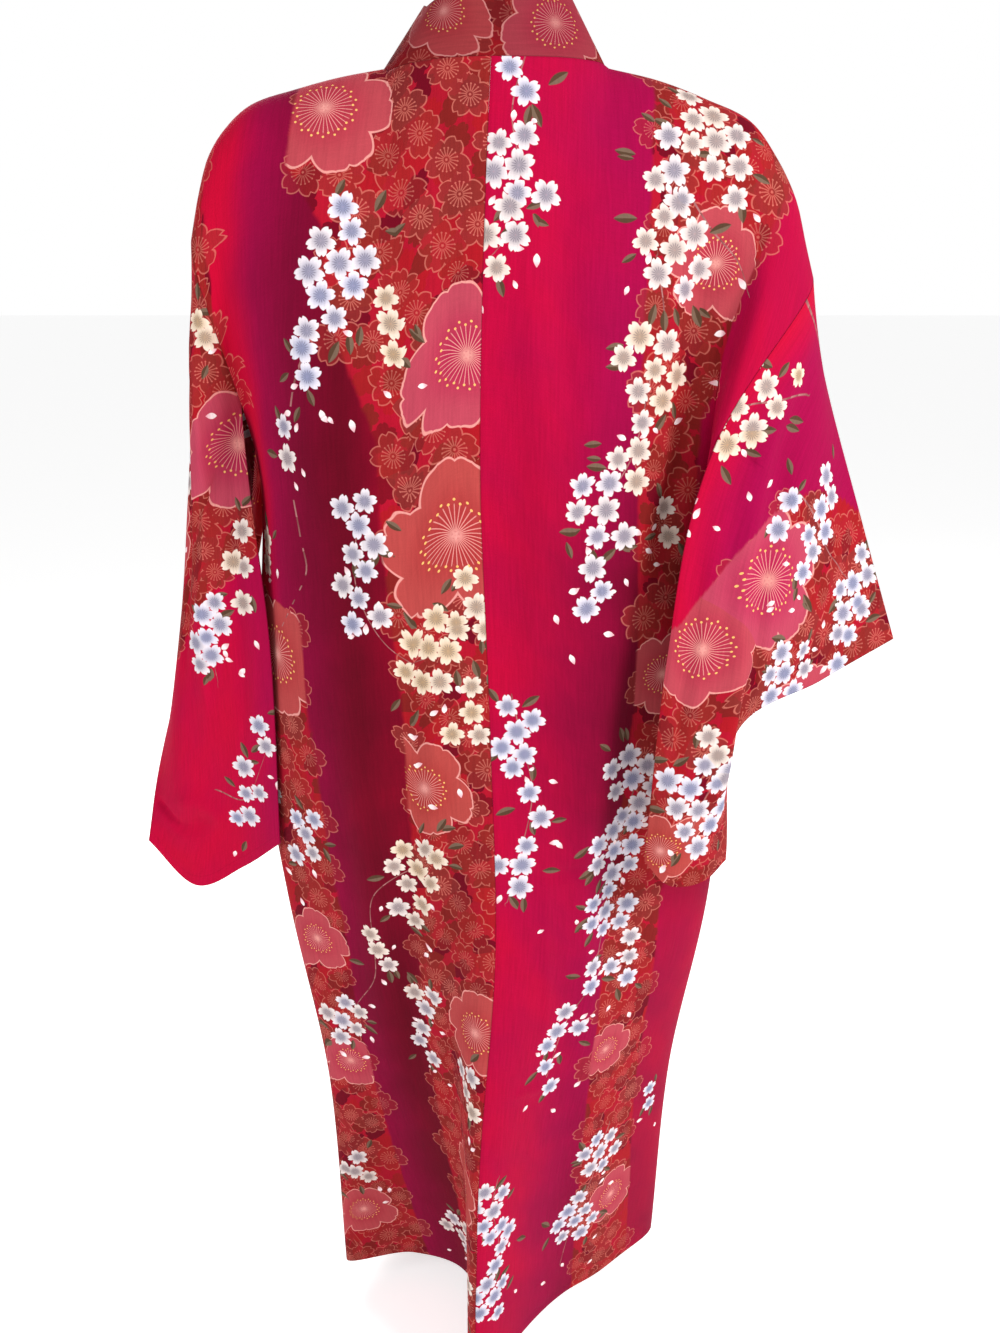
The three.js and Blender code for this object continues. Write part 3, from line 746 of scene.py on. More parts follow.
# Large flowers on each piece: across, along, radius, and 0 for coral to 1 for pink
LARGE_FLOWERS = {
    "body_left": [
        (162, 55, 64, 0.5), (12, 325, 66, 0.8), (24, 482, 76, 0.15), (70, 710, 56, 0.1),
        (18, 1030, 54, 0.2), (50, 1250, 50, 0.1), (235, 535, 68, 0.2), (228, 885, 44, 0.5),
        (220, 1075, 42, 0.6), (275, 1335, 44, 0.4),
    ],
    "body_right": [
        (155, 1035, 38, 0.6), (218, 1295, 46, 0.6), (215, 165, 50, 0.5), (180, 560, 46, 0.4),
    ],
    "okumi_left": [
        (-95, -760, 54, 0.3), (-100, -1130, 60, 0.2),
    ],
    "okumi_right": [
        (-90, -700, 56, 0.5), (-95, -1050, 52, 0.2),
    ],
    "collar": [
        (30, 1124, 48, 0.6), (44, 1022, 40, 0.3), (26, 840, 44, 0.2), (34, 560, 46, 0.5),
        (30, 250, 42, 0.3), (28, 1420, 46, 0.4), (34, 1700, 44, 0.2), (30, 1960, 42, 0.6),
    ],
    "sleeve_left": [
        (14, 219, 70, 0.9), (250, 120, 60, 0.4), (60, -230, 66, 0.5),
    ],
    "sleeve_right": [
        (112, 169, 74, 1), (40, 252, 66, 0.6), (20, 462, 40, 0.1), (300, 150, 62, 0.7),
        (120, -190, 70, 0.6), (60, -420, 58, 0.3),
    ],
}

# Sprays of small blossoms on each piece: across, along, how many, and 0 for blue to 1 for cream
SPRAYS = {
    "body_left": [
        (140, 196, 10, 0.1), (88, 250, 3, 0.9), (162, 266, 2, 0), (190, 328, 2, 0.3), (250, 420, 2, 0.9),
        (116, 422, 5, 0.15), (120, 492, 5, 0.2), (55, 575, 8, 0.95), (8, 552, 5, 0.9), (20, 662, 4, 0.9),
        (272, 655, 3, 0.4), (222, 750, 5, 0.2), (88, 806, 8, 0.8), (110, 862, 2, 0.6),
        (147, 910, 3, 0.6), (103, 985, 3, 0.5), (114, 1056, 3, 0.4), (28, 1104, 4, 0.6),
        (212, 1010, 6, 0.4), (262, 1254, 4, 0.5), (140, 1395, 6, 0.5), (30, 1400, 4, 0.6),
    ],
    "body_right": [
        (27, 82, 3, 0.1), (26, 164, 6, 0.3), (25, 210, 2, 0.4), (6, 240, 2, 0.6), (212, 66, 9, 0.5),
        (168, 108, 4, 0.4), (176, 166, 8, 0.5), (157, 272, 7, 0.7), (142, 352, 4, 0.6),
        (184, 404, 2, 0.6), (110, 412, 6, 0.2), (103, 488, 3, 0.1), (27, 676, 5, 0), (35, 737, 3, 0),
        (22, 824, 4, 0), (150, 688, 8, 0.1), (134, 768, 8, 0), (128, 846, 7, 0), (158, 910, 4, 0.2),
        (116, 930, 2, 0), (87, 1000, 4, 0.1), (81, 1068, 2, 0), (182, 1206, 7, 0.2), (162, 1322, 8, 0.1),
        (16, 1264, 6, 0.1), (32, 1318, 4, 0), (20, 1398, 6, 0), (262, 1132, 2, 0),
    ],
    "okumi_left": [
        (-40, -560, 4, 0.3), (-50, -860, 6, 0.1), (-30, -1020, 3, 0.1), (-60, -1260, 7, 0.4),
    ],
    "okumi_right": [
        (-40, -620, 5, 0.7), (-35, -880, 6, 0.2), (-60, -1180, 7, 0.1), (-30, -1330, 4, 0.3),
    ],
    "sleeve_left": [
        (107, 314, 7, 0.1), (34, 300, 4, 0.7), (62, 506, 5, 0.1), (24, 462, 2, 0.2), (30, 110, 2, 0.9),
        (180, 90, 5, 0.4), (110, -160, 7, 0.2), (70, -380, 6, 0.5),
    ],
    "sleeve_right": [
        (6, 104, 6, 0.8), (37, 86, 3, 0.8), (180, 78, 7, 0), (106, 128, 2, 0), (290, 34, 6, 0),
        (320, 60, 4, 0.1), (190, 200, 6, 0), (250, 160, 5, 0.1), (62, 396, 12, 0.1), (69, 350, 3, 0.5),
        (110, -70, 7, 0.2), (230, -120, 6, 0), (90, -330, 7, 0.6),
    ],
}

# Branches on each piece: thickness, and the places that they pass
BRANCHES = {
    "body_left": [
        (2.6, [(160, 250), (178, 290), (188, 350), (182, 420), (178, 456), (200, 486), (222, 508)]),
        (1.2, [(116, 420), (124, 460), (118, 500), (96, 545), (60, 575)]),
        (1.4, [(150, 905), (158, 950), (186, 985), (210, 1010)]),
        (1.2, [(90, 800), (140, 830), (150, 880), (146, 915)]),
    ],
    "body_right": [
        (1.2, [(32, 60), (20, 120), (28, 165), (24, 215), (8, 242)]),
        (2.4, [(170, 100), (196, 130), (226, 150), (262, 160)]),
        (1.4, [(157, 180), (166, 230), (156, 275), (142, 350), (112, 412), (100, 480)]),
        (1.2, [(22, 640), (32, 690), (40, 740), (24, 820), (12, 870)]),
        (1.4, [(156, 690), (134, 770), (126, 845), (118, 925), (92, 990), (80, 1070)]),
        (1.4, [(190, 1160), (180, 1210), (160, 1320), (150, 1400)]),
        (1.2, [(24, 1220), (18, 1264), (30, 1318), (18, 1400)]),
    ],
    "sleeve_left": [
        (1.3, [(130, 260), (108, 314), (98, 370)]), (1.2, [(120, 470), (64, 505), (20, 480)]),
    ],
    "sleeve_right": [
        (2.4, [(0, 40), (30, 30), (60, 20), (90, 10)]), (1.4, [(70, 60), (38, 84), (6, 104), (-4, 130)]),
        (1.4, [(110, 110), (180, 80), (240, 60), (290, 34)]), (1.4, [(100, 340), (66, 390), (50, 440)]),
    ],
}

# The patterned bands: rows of along, and where the band starts and ends there, and how soft its edges are
BANDS = {
    "body_left": [
        ([(-1500, -300, 100), (-300, -300, 120), (-60, -300, 190), (100, -300, 190), (160, -300, 152),
          (225, -300, 146), (350, -300, 96), (660, -300, 86), (850, -300, 96), (1070, -300, 112),
          (1450, -300, 140)], 16),
        ([(-1500, 196, 500), (-480, 190, 500), (-400, 300, 500), (440, 300, 500), (500, 196, 500),
          (900, 188, 500), (1075, 196, 500), (1450, 214, 500)], 9),
    ],
    "body_right": [
        ([(-1500, 150, 225), (0, 158, 330), (160, 150, 250), (300, 146, 212), (600, 152, 212),
          (830, 128, 192), (1040, 134, 215), (1450, 176, 278)], 12),
    ],
    "okumi_left": [([(-1500, -400, -62), (0, -400, -62)], 12)],
    "okumi_right": [([(-1500, -400, -58), (0, -400, -58)], 12)],
    "collar": [([(0, -100, 200), (3000, -100, 200)], 1)],
    "sleeve_left": [
        ([(-900, -90, -60), (-330, -90, -60), (-290, -60, 90), (-250, -60, 500), (235, -60, 500),
          (268, -60, 150), (300, -60, 40), (330, -90, -60), (900, -90, -60)], 12),
    ],
    "sleeve_right": [
        ([(-900, -60, 500), (-300, -60, 500), (-250, 20, 500), (-80, 150, 500), (0, 238, 500),
          (80, 146, 500), (170, 62, 500), (250, 10, 500), (310, -60, 500), (900, -60, 500)], 9),
    ],
}

# How magenta, and how dark a maroon, the plain cloth is at places across the panel. On the body panels the
# maroon is partly a dyed gradient and partly painted shade, darkest where the cloth lies in shade. On the
# right body the maroon is also multiplied along the cloth, the most beside the sleeve, as a painted shadow.
DYES_AND_SHADE = {
    "body_left": {
        "across": [0, 90, 130, 175, 215, 250, 280],
        "magenta": [0.3, 0.2, 0.45, 1, 0.9, 0.25, 0],
        "maroon_and_shade": [0.3, 0.7, 0.85, 0.62, 0.38, 0.12, 0.05],
    },
    "body_right": {
        "across": [0, 60, 120, 150, 210, 260],
        "magenta": [0.4, 0.5, 0.8, 0.9, 0.6, 0.5],
        "maroon_and_shade": [0.1, 0.24, 0.4, 0.55, 0.6, 0.5],
        # The along and deeper columns are a painted shadow beside the right sleeve, put into the cloth's
        # colour.
        "along": [0, 300, 480, 720, 860, 1400],
        "deeper": [0.15, 0.4, 1.45, 1.5, 0.55, 0.85],
    },
    "okumi_left": {"across": [-130, -60, 0], "magenta": [0.3, 0.8, 0.3], "maroon_and_shade": [0.3, 0.3, 0]},
    "okumi_right": {"across": [-130, -60, 0], "magenta": [0.3, 0.9, 0.4], "maroon_and_shade": [0.3, 0.3, 0]},
    "collar": {"across": [0, 60], "magenta": [0.2, 0.3], "maroon_and_shade": [0.4, 0.2]},
    "sleeve_left": {
        "across": [0, 80, 160, 330], "magenta": [0.7, 0.35, 0.3, 0.5], "maroon_and_shade": [0.1, 0, 0, 0.1],
    },
    "sleeve_right": {
        "across": [0, 25, 60, 330], "magenta": [0.25, 0.5, 1, 0.85], "maroon_and_shade": [0.05, 0, 0, 0],
    },
}


def band_share(node, across, along):
    share = np.zeros(np.broadcast(across, along).shape)
    for rows, soft in BANDS[node]:
        places, starts, ends = np.array(rows, float).T
        past_start = smoothstep((across - np.interp(along, places, starts)) / soft + 0.5)
        before_end = smoothstep((np.interp(along, places, ends) - across) / soft + 0.5)
        share = np.maximum(share, past_start * before_end)
    return share


def cloth_lengths(points, flat, place):
    """The matrix from flat steps to lengths on the cloth at a flat place, or nothing off the cloth."""
    distance = np.hypot(flat[..., 0] - place[0], flat[..., 1] - place[1])
    row, column = np.unravel_index(np.argmin(distance), distance.shape)
    if distance[row, column] > MOST_OFF_CLOTH:
        return None
    above, below = max(row - FACES_ASIDE, 0), min(row + FACES_ASIDE, points.shape[0] - 1)
    left, right = max(column - FACES_ASIDE, 0), min(column + FACES_ASIDE, points.shape[1] - 1)
    steps, flat_steps = [
        np.stack([grid[below, column] - grid[above, column], grid[row, right] - grid[row, left]], -1)
        for grid in (points, flat)
    ]
    if abs(np.linalg.det(flat_steps)) < 1:
        return None
    tangents = steps @ np.linalg.inv(flat_steps)
    down = np.linalg.norm(tangents[:, 1])
    lean = tangents[:, 0] @ tangents[:, 1] / down
    side = math.sqrt(max(tangents[:, 0] @ tangents[:, 0] - lean ** 2, 0.01))
    return np.array([[side, 0], [lean, down]])


def lay_motif(node, kind, place, radius, turn, tone):
    """Gives a motif's own coordinates to the faces it covers, on the first layer that is free there."""
    made = PIECES[node]
    lengths = cloth_lengths(made["points"], made["flat_grid"], place)
    if lengths is None:
        return
    own = (made["flat"] - place) @ lengths.T
    covered = np.hypot(own[:, 0], own[:, 1]) < max(radius + 0.6, 6)
    picked = covered[made["faces"]].any(1)
    for layer in range(LAYERS[kind]):
        name = f"{kind}_{layer}"
        if not (made["taken"][name] & picked).any():
            corner = own[made["faces"][picked]] / radius
            across = math.cos(turn) * corner[..., 0] + math.sin(turn) * corner[..., 1]
            along = math.cos(turn) * corner[..., 1] - math.sin(turn) * corner[..., 0]
            made["motifs"][name][picked] = np.stack([across, along, np.full(across.shape, tone)], -1)
            made["taken"][name] |= picked
            return


def lay_spray(node, place, count, tone, chance):
    """Blossoms packed side by side in a hanging spray, with leaves round it and loose petals below."""
    turn = chance.uniform(0, math.pi)
    lattice = [(column + row / 2, row * SPRAY_ROWS) for row in range(-3, 4) for column in range(-4, 5)]
    cosine, sine = math.cos(turn), math.sin(turn)
    spots = [(cosine * x + sine * y, cosine * y - sine * x) for x, y in lattice]
    spots.sort(key=lambda spot: math.hypot(spot[0] * 1.15, spot[1] * 0.8) + chance.uniform(0, 0.3))
    spots = np.array(spots[:count]) * BLOSSOM_PITCH
    spots -= spots.mean(0)
    for spot in spots:
        radius = BLOSSOM_RADIUS * chance.uniform(0.84, 1.08)
        shade = float(np.clip(tone + chance.uniform(-0.18, 0.18), 0, 1))
        strayed = place + spot + chance.uniform(-SPRAY_JITTER, SPRAY_JITTER, 2)
        lay_motif(node, "blossom", strayed, radius, chance.uniform(0, math.tau), shade)
    reach = np.abs(spots).max() + SPRAY_MARGIN
    for _ in range(2 + count // 2):
        angle = chance.uniform(0, math.tau)
        spot = place + reach * np.array([math.cos(angle) * 0.85, math.sin(angle)])
        radius = LEAF_REACH * chance.uniform(0.75, 1.15)
        lay_motif(node, "scrap", spot, radius, angle + chance.uniform(-0.6, 0.6), 1)
    for _ in range(2 + count // 3):
        spot = place + np.array([chance.uniform(-0.9, 0.9) * reach, reach * chance.uniform(0.7, 2)])
        radius = PETAL_REACH * chance.uniform(0.8, 1.2)
        lay_motif(node, "scrap", spot, radius, chance.uniform(0, math.tau), -1)


def lay_branch(node, thickness, passes):
    """Marks the faces beside a curved branch with their distance from it."""
    made = PIECES[node]
    passes = np.array(passes, float)
    ends = np.vstack([2 * passes[0] - passes[1], passes, 2 * passes[-1] - passes[-2]])
    path = [cubic(ends[k], ends[k + 1], ends[k + 2], ends[k + 3], t)
            for k in range(len(passes) - 1) for t in np.linspace(0, 1, 8, endpoint=False)] + [passes[-1]]
    nearest = np.full(len(made["flat"]), 1e9)
    signed = np.zeros(len(made["flat"]))
    share = np.zeros(len(made["flat"]))
    for k, (start, end) in enumerate(zip(path[:-1], path[1:])):
        step = (end - start) / np.linalg.norm(end - start)
        offset = made["flat"] - start
        along = np.clip(offset @ step, 0, np.linalg.norm(end - start))
        distance = np.linalg.norm(offset - along[:, None] * step, axis=1)
        closer = distance < nearest
        side = np.where(offset @ np.array([-step[1], step[0]]) < 0, -1, 1)
        nearest = np.where(closer, distance, nearest)
        signed = np.where(closer, side * distance, signed)
        share = np.where(closer, (k + 0.5) / len(path), share)
    picked = (nearest < BRANCH_REACH)[made["faces"]].all(1) & ~made["taken"]["branch_0"]
    corners = made["faces"][picked]
    half = thickness / 2 * (1 - 0.5 * share[corners])
    made["motifs"]["branch_0"][picked] = np.stack([signed[corners], share[corners], half], -1)
    made["taken"]["branch_0"] |= picked


def lay_medium_flowers(node, chance):
    """Outlined flowers side by side all over the patterned bands."""
    flat = PIECES[node]["flat_grid"]
    low = flat.reshape(-1, 2).min(0)
    high = flat.reshape(-1, 2).max(0)
    rows = np.arange(low[1] + 10, high[1], MEDIUM_PITCH * 0.9)
    for k, along in enumerate(rows):
        for across in np.arange(low[0] + (k % 2) * MEDIUM_PITCH / 2, high[0], MEDIUM_PITCH):
            place = np.array([across, along]) + chance.uniform(-MEDIUM_JITTER, MEDIUM_JITTER, 2)
            radius = MEDIUM_RADIUS * chance.uniform(0.82, 1.15)
            turn = chance.uniform(0, math.tau)
            tone = chance.uniform(0, 1)
            if band_share(node, *place) > LEAST_BAND_SHARE:
                lay_motif(node, "medium", place, radius, turn, tone)


for made in PIECES.values():
    count = len(made["faces"])
    names = [f"{kind}_{layer}" for kind, layers in LAYERS.items() for layer in range(layers)]
    made["motifs"] = {name: np.tile(np.array(NOWHERE, np.float32), (count, 4, 1)) for name in names}
    made["taken"] = {name: np.zeros(count, bool) for name in names}

chance = np.random.default_rng(11)
for node, rows in LARGE_FLOWERS.items():
    for across, along, radius, tone in rows:
        places = [(across, along)]
        if node in TURNED_OVER:
            places.append((across, -FLOWERS_OVER - FLOWERS_CLOSER * along))
        for place in places:
            lay_motif(node, "large", np.array(place, float), radius, chance.uniform(0, math.tau), tone)
for node, rows in SPRAYS.items():
    for across, along, amount, tone in rows:
        lay_spray(node, np.array([across, along], float), amount, tone, chance)
for node in TURNED_OVER:
    for across, along, amount, tone in SPRAYS[node]:
        place = np.array([across, -SPRAYS_OVER - SPRAYS_CLOSER * along])
        lay_spray(node, place, amount, tone, chance)
for node, rows in BRANCHES.items():
    for thickness, passes in rows:
        lay_branch(node, thickness, passes)
for node in PIECES:
    lay_medium_flowers(node, chance)


def edge_lengths(points):
    """Millimetres to the nearest side edge of a grid and to its nearest end."""
    across = grid_lengths(points, 1)
    along = grid_lengths(points, 0)
    return np.minimum(across, across[:, -1:] - across), np.minimum(along, along[-1:] - along)


def add_attribute(mesh, name, domain, values):
    made = mesh.attributes.new(name, "FLOAT_VECTOR", domain)
    made.data.foreach_set("vector", values.astype(np.float32).ravel())


for node, made in PIECES.items():
    mesh = made["piece"].data
    for name, values in made["motifs"].items():
        add_attribute(mesh, name, "CORNER", values)
    across, along = made["flat"].T
    # The ground's third channel is the maroon with its painted shade, times the painted shadow along the
    # right body.
    dye_and_shade = {"along": [0], "deeper": [1], **DYES_AND_SHADE[node]}
    deeper = np.interp(along, dye_and_shade["along"], dye_and_shade["deeper"])
    add_attribute(mesh, "ground", "POINT", np.stack([
        band_share(node, across, along),
        np.interp(across, dye_and_shade["across"], dye_and_shade["magenta"]),
        np.interp(across, dye_and_shade["across"], dye_and_shade["maroon_and_shade"]) * deeper,
    ], -1))
    side, end = edge_lengths(made["points"])
    edges = np.stack([side, end, np.zeros(side.shape)], -1).reshape(-1, 3)
    add_attribute(mesh, "edges", "POINT", np.concatenate([edges, edges]))


# Node trees
class Number:
    """A number in a node tree, which arithmetic adds nodes to."""

    def __init__(self, tree, socket):
        self.tree = tree
        self.socket = socket

    def node(self, operation, *others):
        made = add_node(self.tree, "Math", dict(enumerate((self, *others))), operation=operation)
        return Number(self.tree, made.outputs[0])

    def __add__(self, other):
        return self.node("ADD", other)

    def __sub__(self, other):
        return self.node("SUBTRACT", other)

    def __mul__(self, other):
        return self.node("MULTIPLY", other)

    def __truediv__(self, other):
        return self.node("DIVIDE", other)

    def less(self, number):
        """That number less this one."""
        return (self * -1) + number

    def size(self):
        return self.node("ABSOLUTE")

    def most(self, other):
        return self.node("MAXIMUM", other)

    def fraction(self):
        return self.node("FRACT")

    def step(self, low, high):
        """Rises smoothly from 0 at low to 1 at high."""
        made = add_node(self.tree, "MapRange", {
            "Value": self, "From Min": min(low, high), "From Max": max(low, high),
        }, interpolation_type="SMOOTHSTEP")
        rising = Number(self.tree, made.outputs["Result"])
        return rising if low < high else rising.less(1)


def add_node(tree, kind, inputs, **settings):
    """A node with its settings, and its inputs each linked to a socket or set to a value."""
    made = tree.nodes.new("ShaderNode" + kind)
    for name, value in settings.items():
        setattr(made, name, value)
    for place, value in inputs.items():
        value = value.socket if isinstance(value, Number) else value
        if isinstance(value, bpy.types.NodeSocket):
            tree.links.new(value, made.inputs[place])
        else:
            made.inputs[place].default_value = value
    return made


def new_group(name, inputs, outputs):
    tree = bpy.data.node_groups.new(name, "ShaderNodeTree")
    for socket, kind in inputs:
        tree.interface.new_socket(name=socket, in_out="INPUT", socket_type=kind)
    for socket, kind in outputs:
        tree.interface.new_socket(name=socket, in_out="OUTPUT", socket_type=kind)
    return tree, tree.nodes.new("NodeGroupInput"), tree.nodes.new("NodeGroupOutput")


def colour_mix(tree, share, first, second, blend="MIX"):
    """Mixes two colours, each a socket or three numbers."""
    first, second = [(*colour, 1) if isinstance(colour, tuple) else colour for colour in (first, second)]
    made = add_node(tree, "Mix", {0: share, 6: first, 7: second}, data_type="RGBA", blend_type=blend)
    return made.outputs[2]


def separate(tree, vector):
    return [Number(tree, socket) for socket in add_node(tree, "SeparateXYZ", {0: vector}).outputs]


def five_petals(across, along):
    """Radius, share of the whole turn, and place along and across the nearest of five petals."""
    radius = (across * across + along * along).node("SQRT")
    angle = along.node("ARCTAN2", across)
    turn = angle / math.tau
    nearest = ((turn * 5 + 0.5).fraction() - 0.5) * (math.tau / 5)
    return radius, turn, radius * nearest.node("COSINE"), (radius * nearest.node("SINE")).size()


def petal_edge(along, across, half_width, notch, notch_slope):
    """Below nought inside a petal, and about a share of the flower's radius past its edge."""
    length = ((along - 0.6) * 2.5).most((along - 0.6) * -1.67)
    oval = length * length + (across / half_width) * (across / half_width) - 1
    return (oval * 0.2).most(along - across * notch_slope - notch)


def motif_group(name, draw):
    """A group that turns a motif's own coordinates into its colour, and a mask of where it is."""
    tree, inside, outside = new_group(name, [("Place", "NodeSocketVector")],
                                      [("Colour", "NodeSocketColor"), ("Mask", "NodeSocketFloat")])
    colour, mask = draw(tree, *separate(tree, inside.outputs[0]))
    tree.links.new(colour, outside.inputs["Colour"])
    tree.links.new(mask.socket, outside.inputs["Mask"])
    return tree


def small_blossom(tree, x, y, tone):
    radius, turn, along, across = five_petals(x, y)
    edge = petal_edge(along, across, 0.34, 0.85, 1.15)
    mask = edge.step(0.03, -0.03)
    centre = colour_mix(tree, tone, BLUE_CENTRE, CREAM_CENTRE)
    tip = colour_mix(tree, tone, BLUE_TIP, CREAM_TIP)
    petal = colour_mix(tree, radius.step(0.15, 0.85), centre, tip)
    strokes = ((turn * 15).fraction() - 0.5).size().step(0.24, 0.1)
    strokes = strokes * radius.step(0.5, 0.34) * radius.step(0.02, 0.1)
    petal = colour_mix(tree, strokes * 0.7, petal, STAMEN_GREY)
    return petal, mask


def outlined_flower(tree, x, y, tone):
    radius, turn, along, across = five_petals(x, y)
    edge = petal_edge(along, across, 0.4, 0.86, 0.9)
    line = edge.size().step(0.045, 0.015)
    rays = ((turn * 17).fraction() - 0.5).size() * radius * (math.tau / 17)
    stamens = rays.step(0.03, 0.012) * radius.step(0.46, 0.42) * radius.step(0.1, 0.16)
    tips = (rays * rays + (radius - 0.47) * (radius - 0.47)).node("SQRT").step(0.05, 0.025)
    drawn = line.most(stamens * 0.85).most(tips)
    fill = colour_mix(tree, tone, MEDIUM_RED, MEDIUM_BROWN)
    whole = colour_mix(tree, drawn, fill, MEDIUM_LINE)
    mask = (drawn * 0.55).most(edge.step(0.01, -0.01) * (tone * 0.4 + 0.35))
    return whole, mask


def large_flower(tree, x, y, tone):
    radius, turn, along, across = five_petals(x, y)
    wave = (across * 19 + 0.5).node("SINE") * 0.035
    edge = petal_edge(along - wave, across, 0.43, 0.88, 0.35)
    inside_petal = edge.step(0.006, -0.006)
    line = edge.size().step(0.02, 0.008)
    petal = colour_mix(tree, tone, LARGE_CORAL, LARGE_PINK)
    deeper = colour_mix(tree, tone, LARGE_CORAL_DEEP, LARGE_PINK_DEEP)
    petal = colour_mix(tree, radius.step(0.1, 0.8), deeper, petal)
    ray_turn = turn * 34
    rays = (ray_turn.fraction() - 0.5).size() * radius * (math.tau / 34)
    stamens = rays.step(0.0085, 0.003) * radius.step(0.4, 0.37) * radius.step(0.02, 0.06)
    ring = (ray_turn.node("FLOOR") * 0.5).fraction() * 0.1
    apart = radius - 0.44 + ring
    dots = (rays * rays + apart * apart).node("SQRT").step(0.021, 0.012)
    whole = colour_mix(tree, line.most(stamens * 0.9), petal, LARGE_LINE)
    whole = colour_mix(tree, dots, whole, GOLD)
    mask = inside_petal.most(line)
    return whole, mask


def leaf_or_petal(tree, along, across, kind):
    is_petal = kind.step(0.1, -0.1)
    bow = (along * along).less(1)
    half = bow * (is_petal * (along * 0.14 + 0.12) + 0.38)
    mask = (across.size() - half).step(0.06, -0.06) * along.size().step(1, 0.96)
    leaf = colour_mix(tree, across.step(-0.04, 0.04), LEAF_DARK, LEAF_PALE)
    petal = colour_mix(tree, along.step(-0.9, 0.4), PETAL_BASE, PETAL_TIP)
    whole = colour_mix(tree, is_petal, leaf, petal)
    return whole, mask


def branch(tree, apart, along, half):
    mask = (apart.size() - half).step(0.35, -0.35) * half.step(0.05, 0.1)
    whole = colour_mix(tree, (along * 9).fraction(), BRANCH_DARK, BRANCH_PALE)
    return whole, mask


def attribute(tree, name):
    return add_node(tree, "Attribute", {}, attribute_name=name).outputs["Vector"]


def vector_math(tree, operation, output, *inputs):
    return add_node(tree, "VectorMath", dict(enumerate(inputs)), operation=operation).outputs[output]


def flat_length(tree, vector):
    flat = vector_math(tree, "MULTIPLY", "Vector", vector, (1, 1, 0))
    return Number(tree, vector_math(tree, "LENGTH", "Value", flat))


def nearest_motif(tree, kind):
    """Of the layers of one kind of motif, the place in the one whose middle is the nearest."""
    best = attribute(tree, f"{kind}_0")
    for layer in range(1, LAYERS[kind]):
        other = attribute(tree, f"{kind}_{layer}")
        nearer = flat_length(tree, other).node("LESS_THAN", flat_length(tree, best))
        made = add_node(tree, "Mix", {0: nearer, 4: best, 5: other}, data_type="VECTOR")
        best = made.outputs[1]
    return best


def flat_cloth(tree):
    """The flat cloth coordinates, in metres."""
    return add_node(tree, "UVMap", {}, uv_map="cloth").outputs[0]


def scaled(tree, vector, scale):
    return add_node(tree, "Mapping", {"Vector": vector, "Scale": scale}).outputs[0]


def noise(tree, vector, scale, detail):
    made = add_node(tree, "TexNoise", {"Vector": vector, "Scale": scale, "Detail": detail})
    return Number(tree, made.outputs[0])


# Dyes and inks
CRIMSON = (0.5, 0.001, 0.03)
MAGENTA = (0.33, 0.001, 0.06)
# Maroon is a dye of the bands, and on the body panels also the colour of the painted shade.
MAROON = (0.11, 0.001, 0.01)
BAND_RED = (0.36, 0.008, 0.014)
BAND_BROWN = (0.17, 0.014, 0.01)
BLUE_CENTRE = (0.26, 0.31, 0.47)
CREAM_CENTRE = (0.5, 0.37, 0.2)
BLUE_TIP = (0.76, 0.79, 0.86)
CREAM_TIP = (0.82, 0.74, 0.57)
STAMEN_GREY = (0.13, 0.12, 0.16)
MEDIUM_RED = (0.33, 0.02, 0.016)
MEDIUM_BROWN = (0.22, 0.03, 0.025)
MEDIUM_LINE = (0.62, 0.19, 0.14)
LARGE_CORAL = (0.42, 0.065, 0.05)
LARGE_CORAL_DEEP = (0.36, 0.035, 0.026)
LARGE_PINK = (0.46, 0.06, 0.11)
LARGE_PINK_DEEP = (0.42, 0.015, 0.08)
LARGE_LINE = (0.72, 0.32, 0.28)
GOLD = (0.85, 0.55, 0.16)
LEAF_DARK = (0.085, 0.05, 0.028)
LEAF_PALE = (0.17, 0.12, 0.08)
PETAL_BASE = (0.8, 0.45, 0.5)
PETAL_TIP = (0.92, 0.88, 0.86)
BRANCH_DARK = (0.2, 0.06, 0.06)
BRANCH_PALE = (0.42, 0.2, 0.19)

MOTIF_GROUPS = {
    "medium": motif_group("outlined flower", outlined_flower),
    "large": motif_group("large flower", large_flower),
    "branch": motif_group("branch", branch),
    "scrap": motif_group("leaf or loose petal", leaf_or_petal),
    "blossom": motif_group("small blossom", small_blossom),
}
# The dim flowers in the ground of the bands: their pitch in metres, and their radius
SILHOUETTE_SIZE = 0.026
SILHOUETTE_RADIUS = SILHOUETTE_SIZE * 0.54
# How far the weave's ripples seem to stand out, in metres
BUMP_HEIGHT = 0.0006


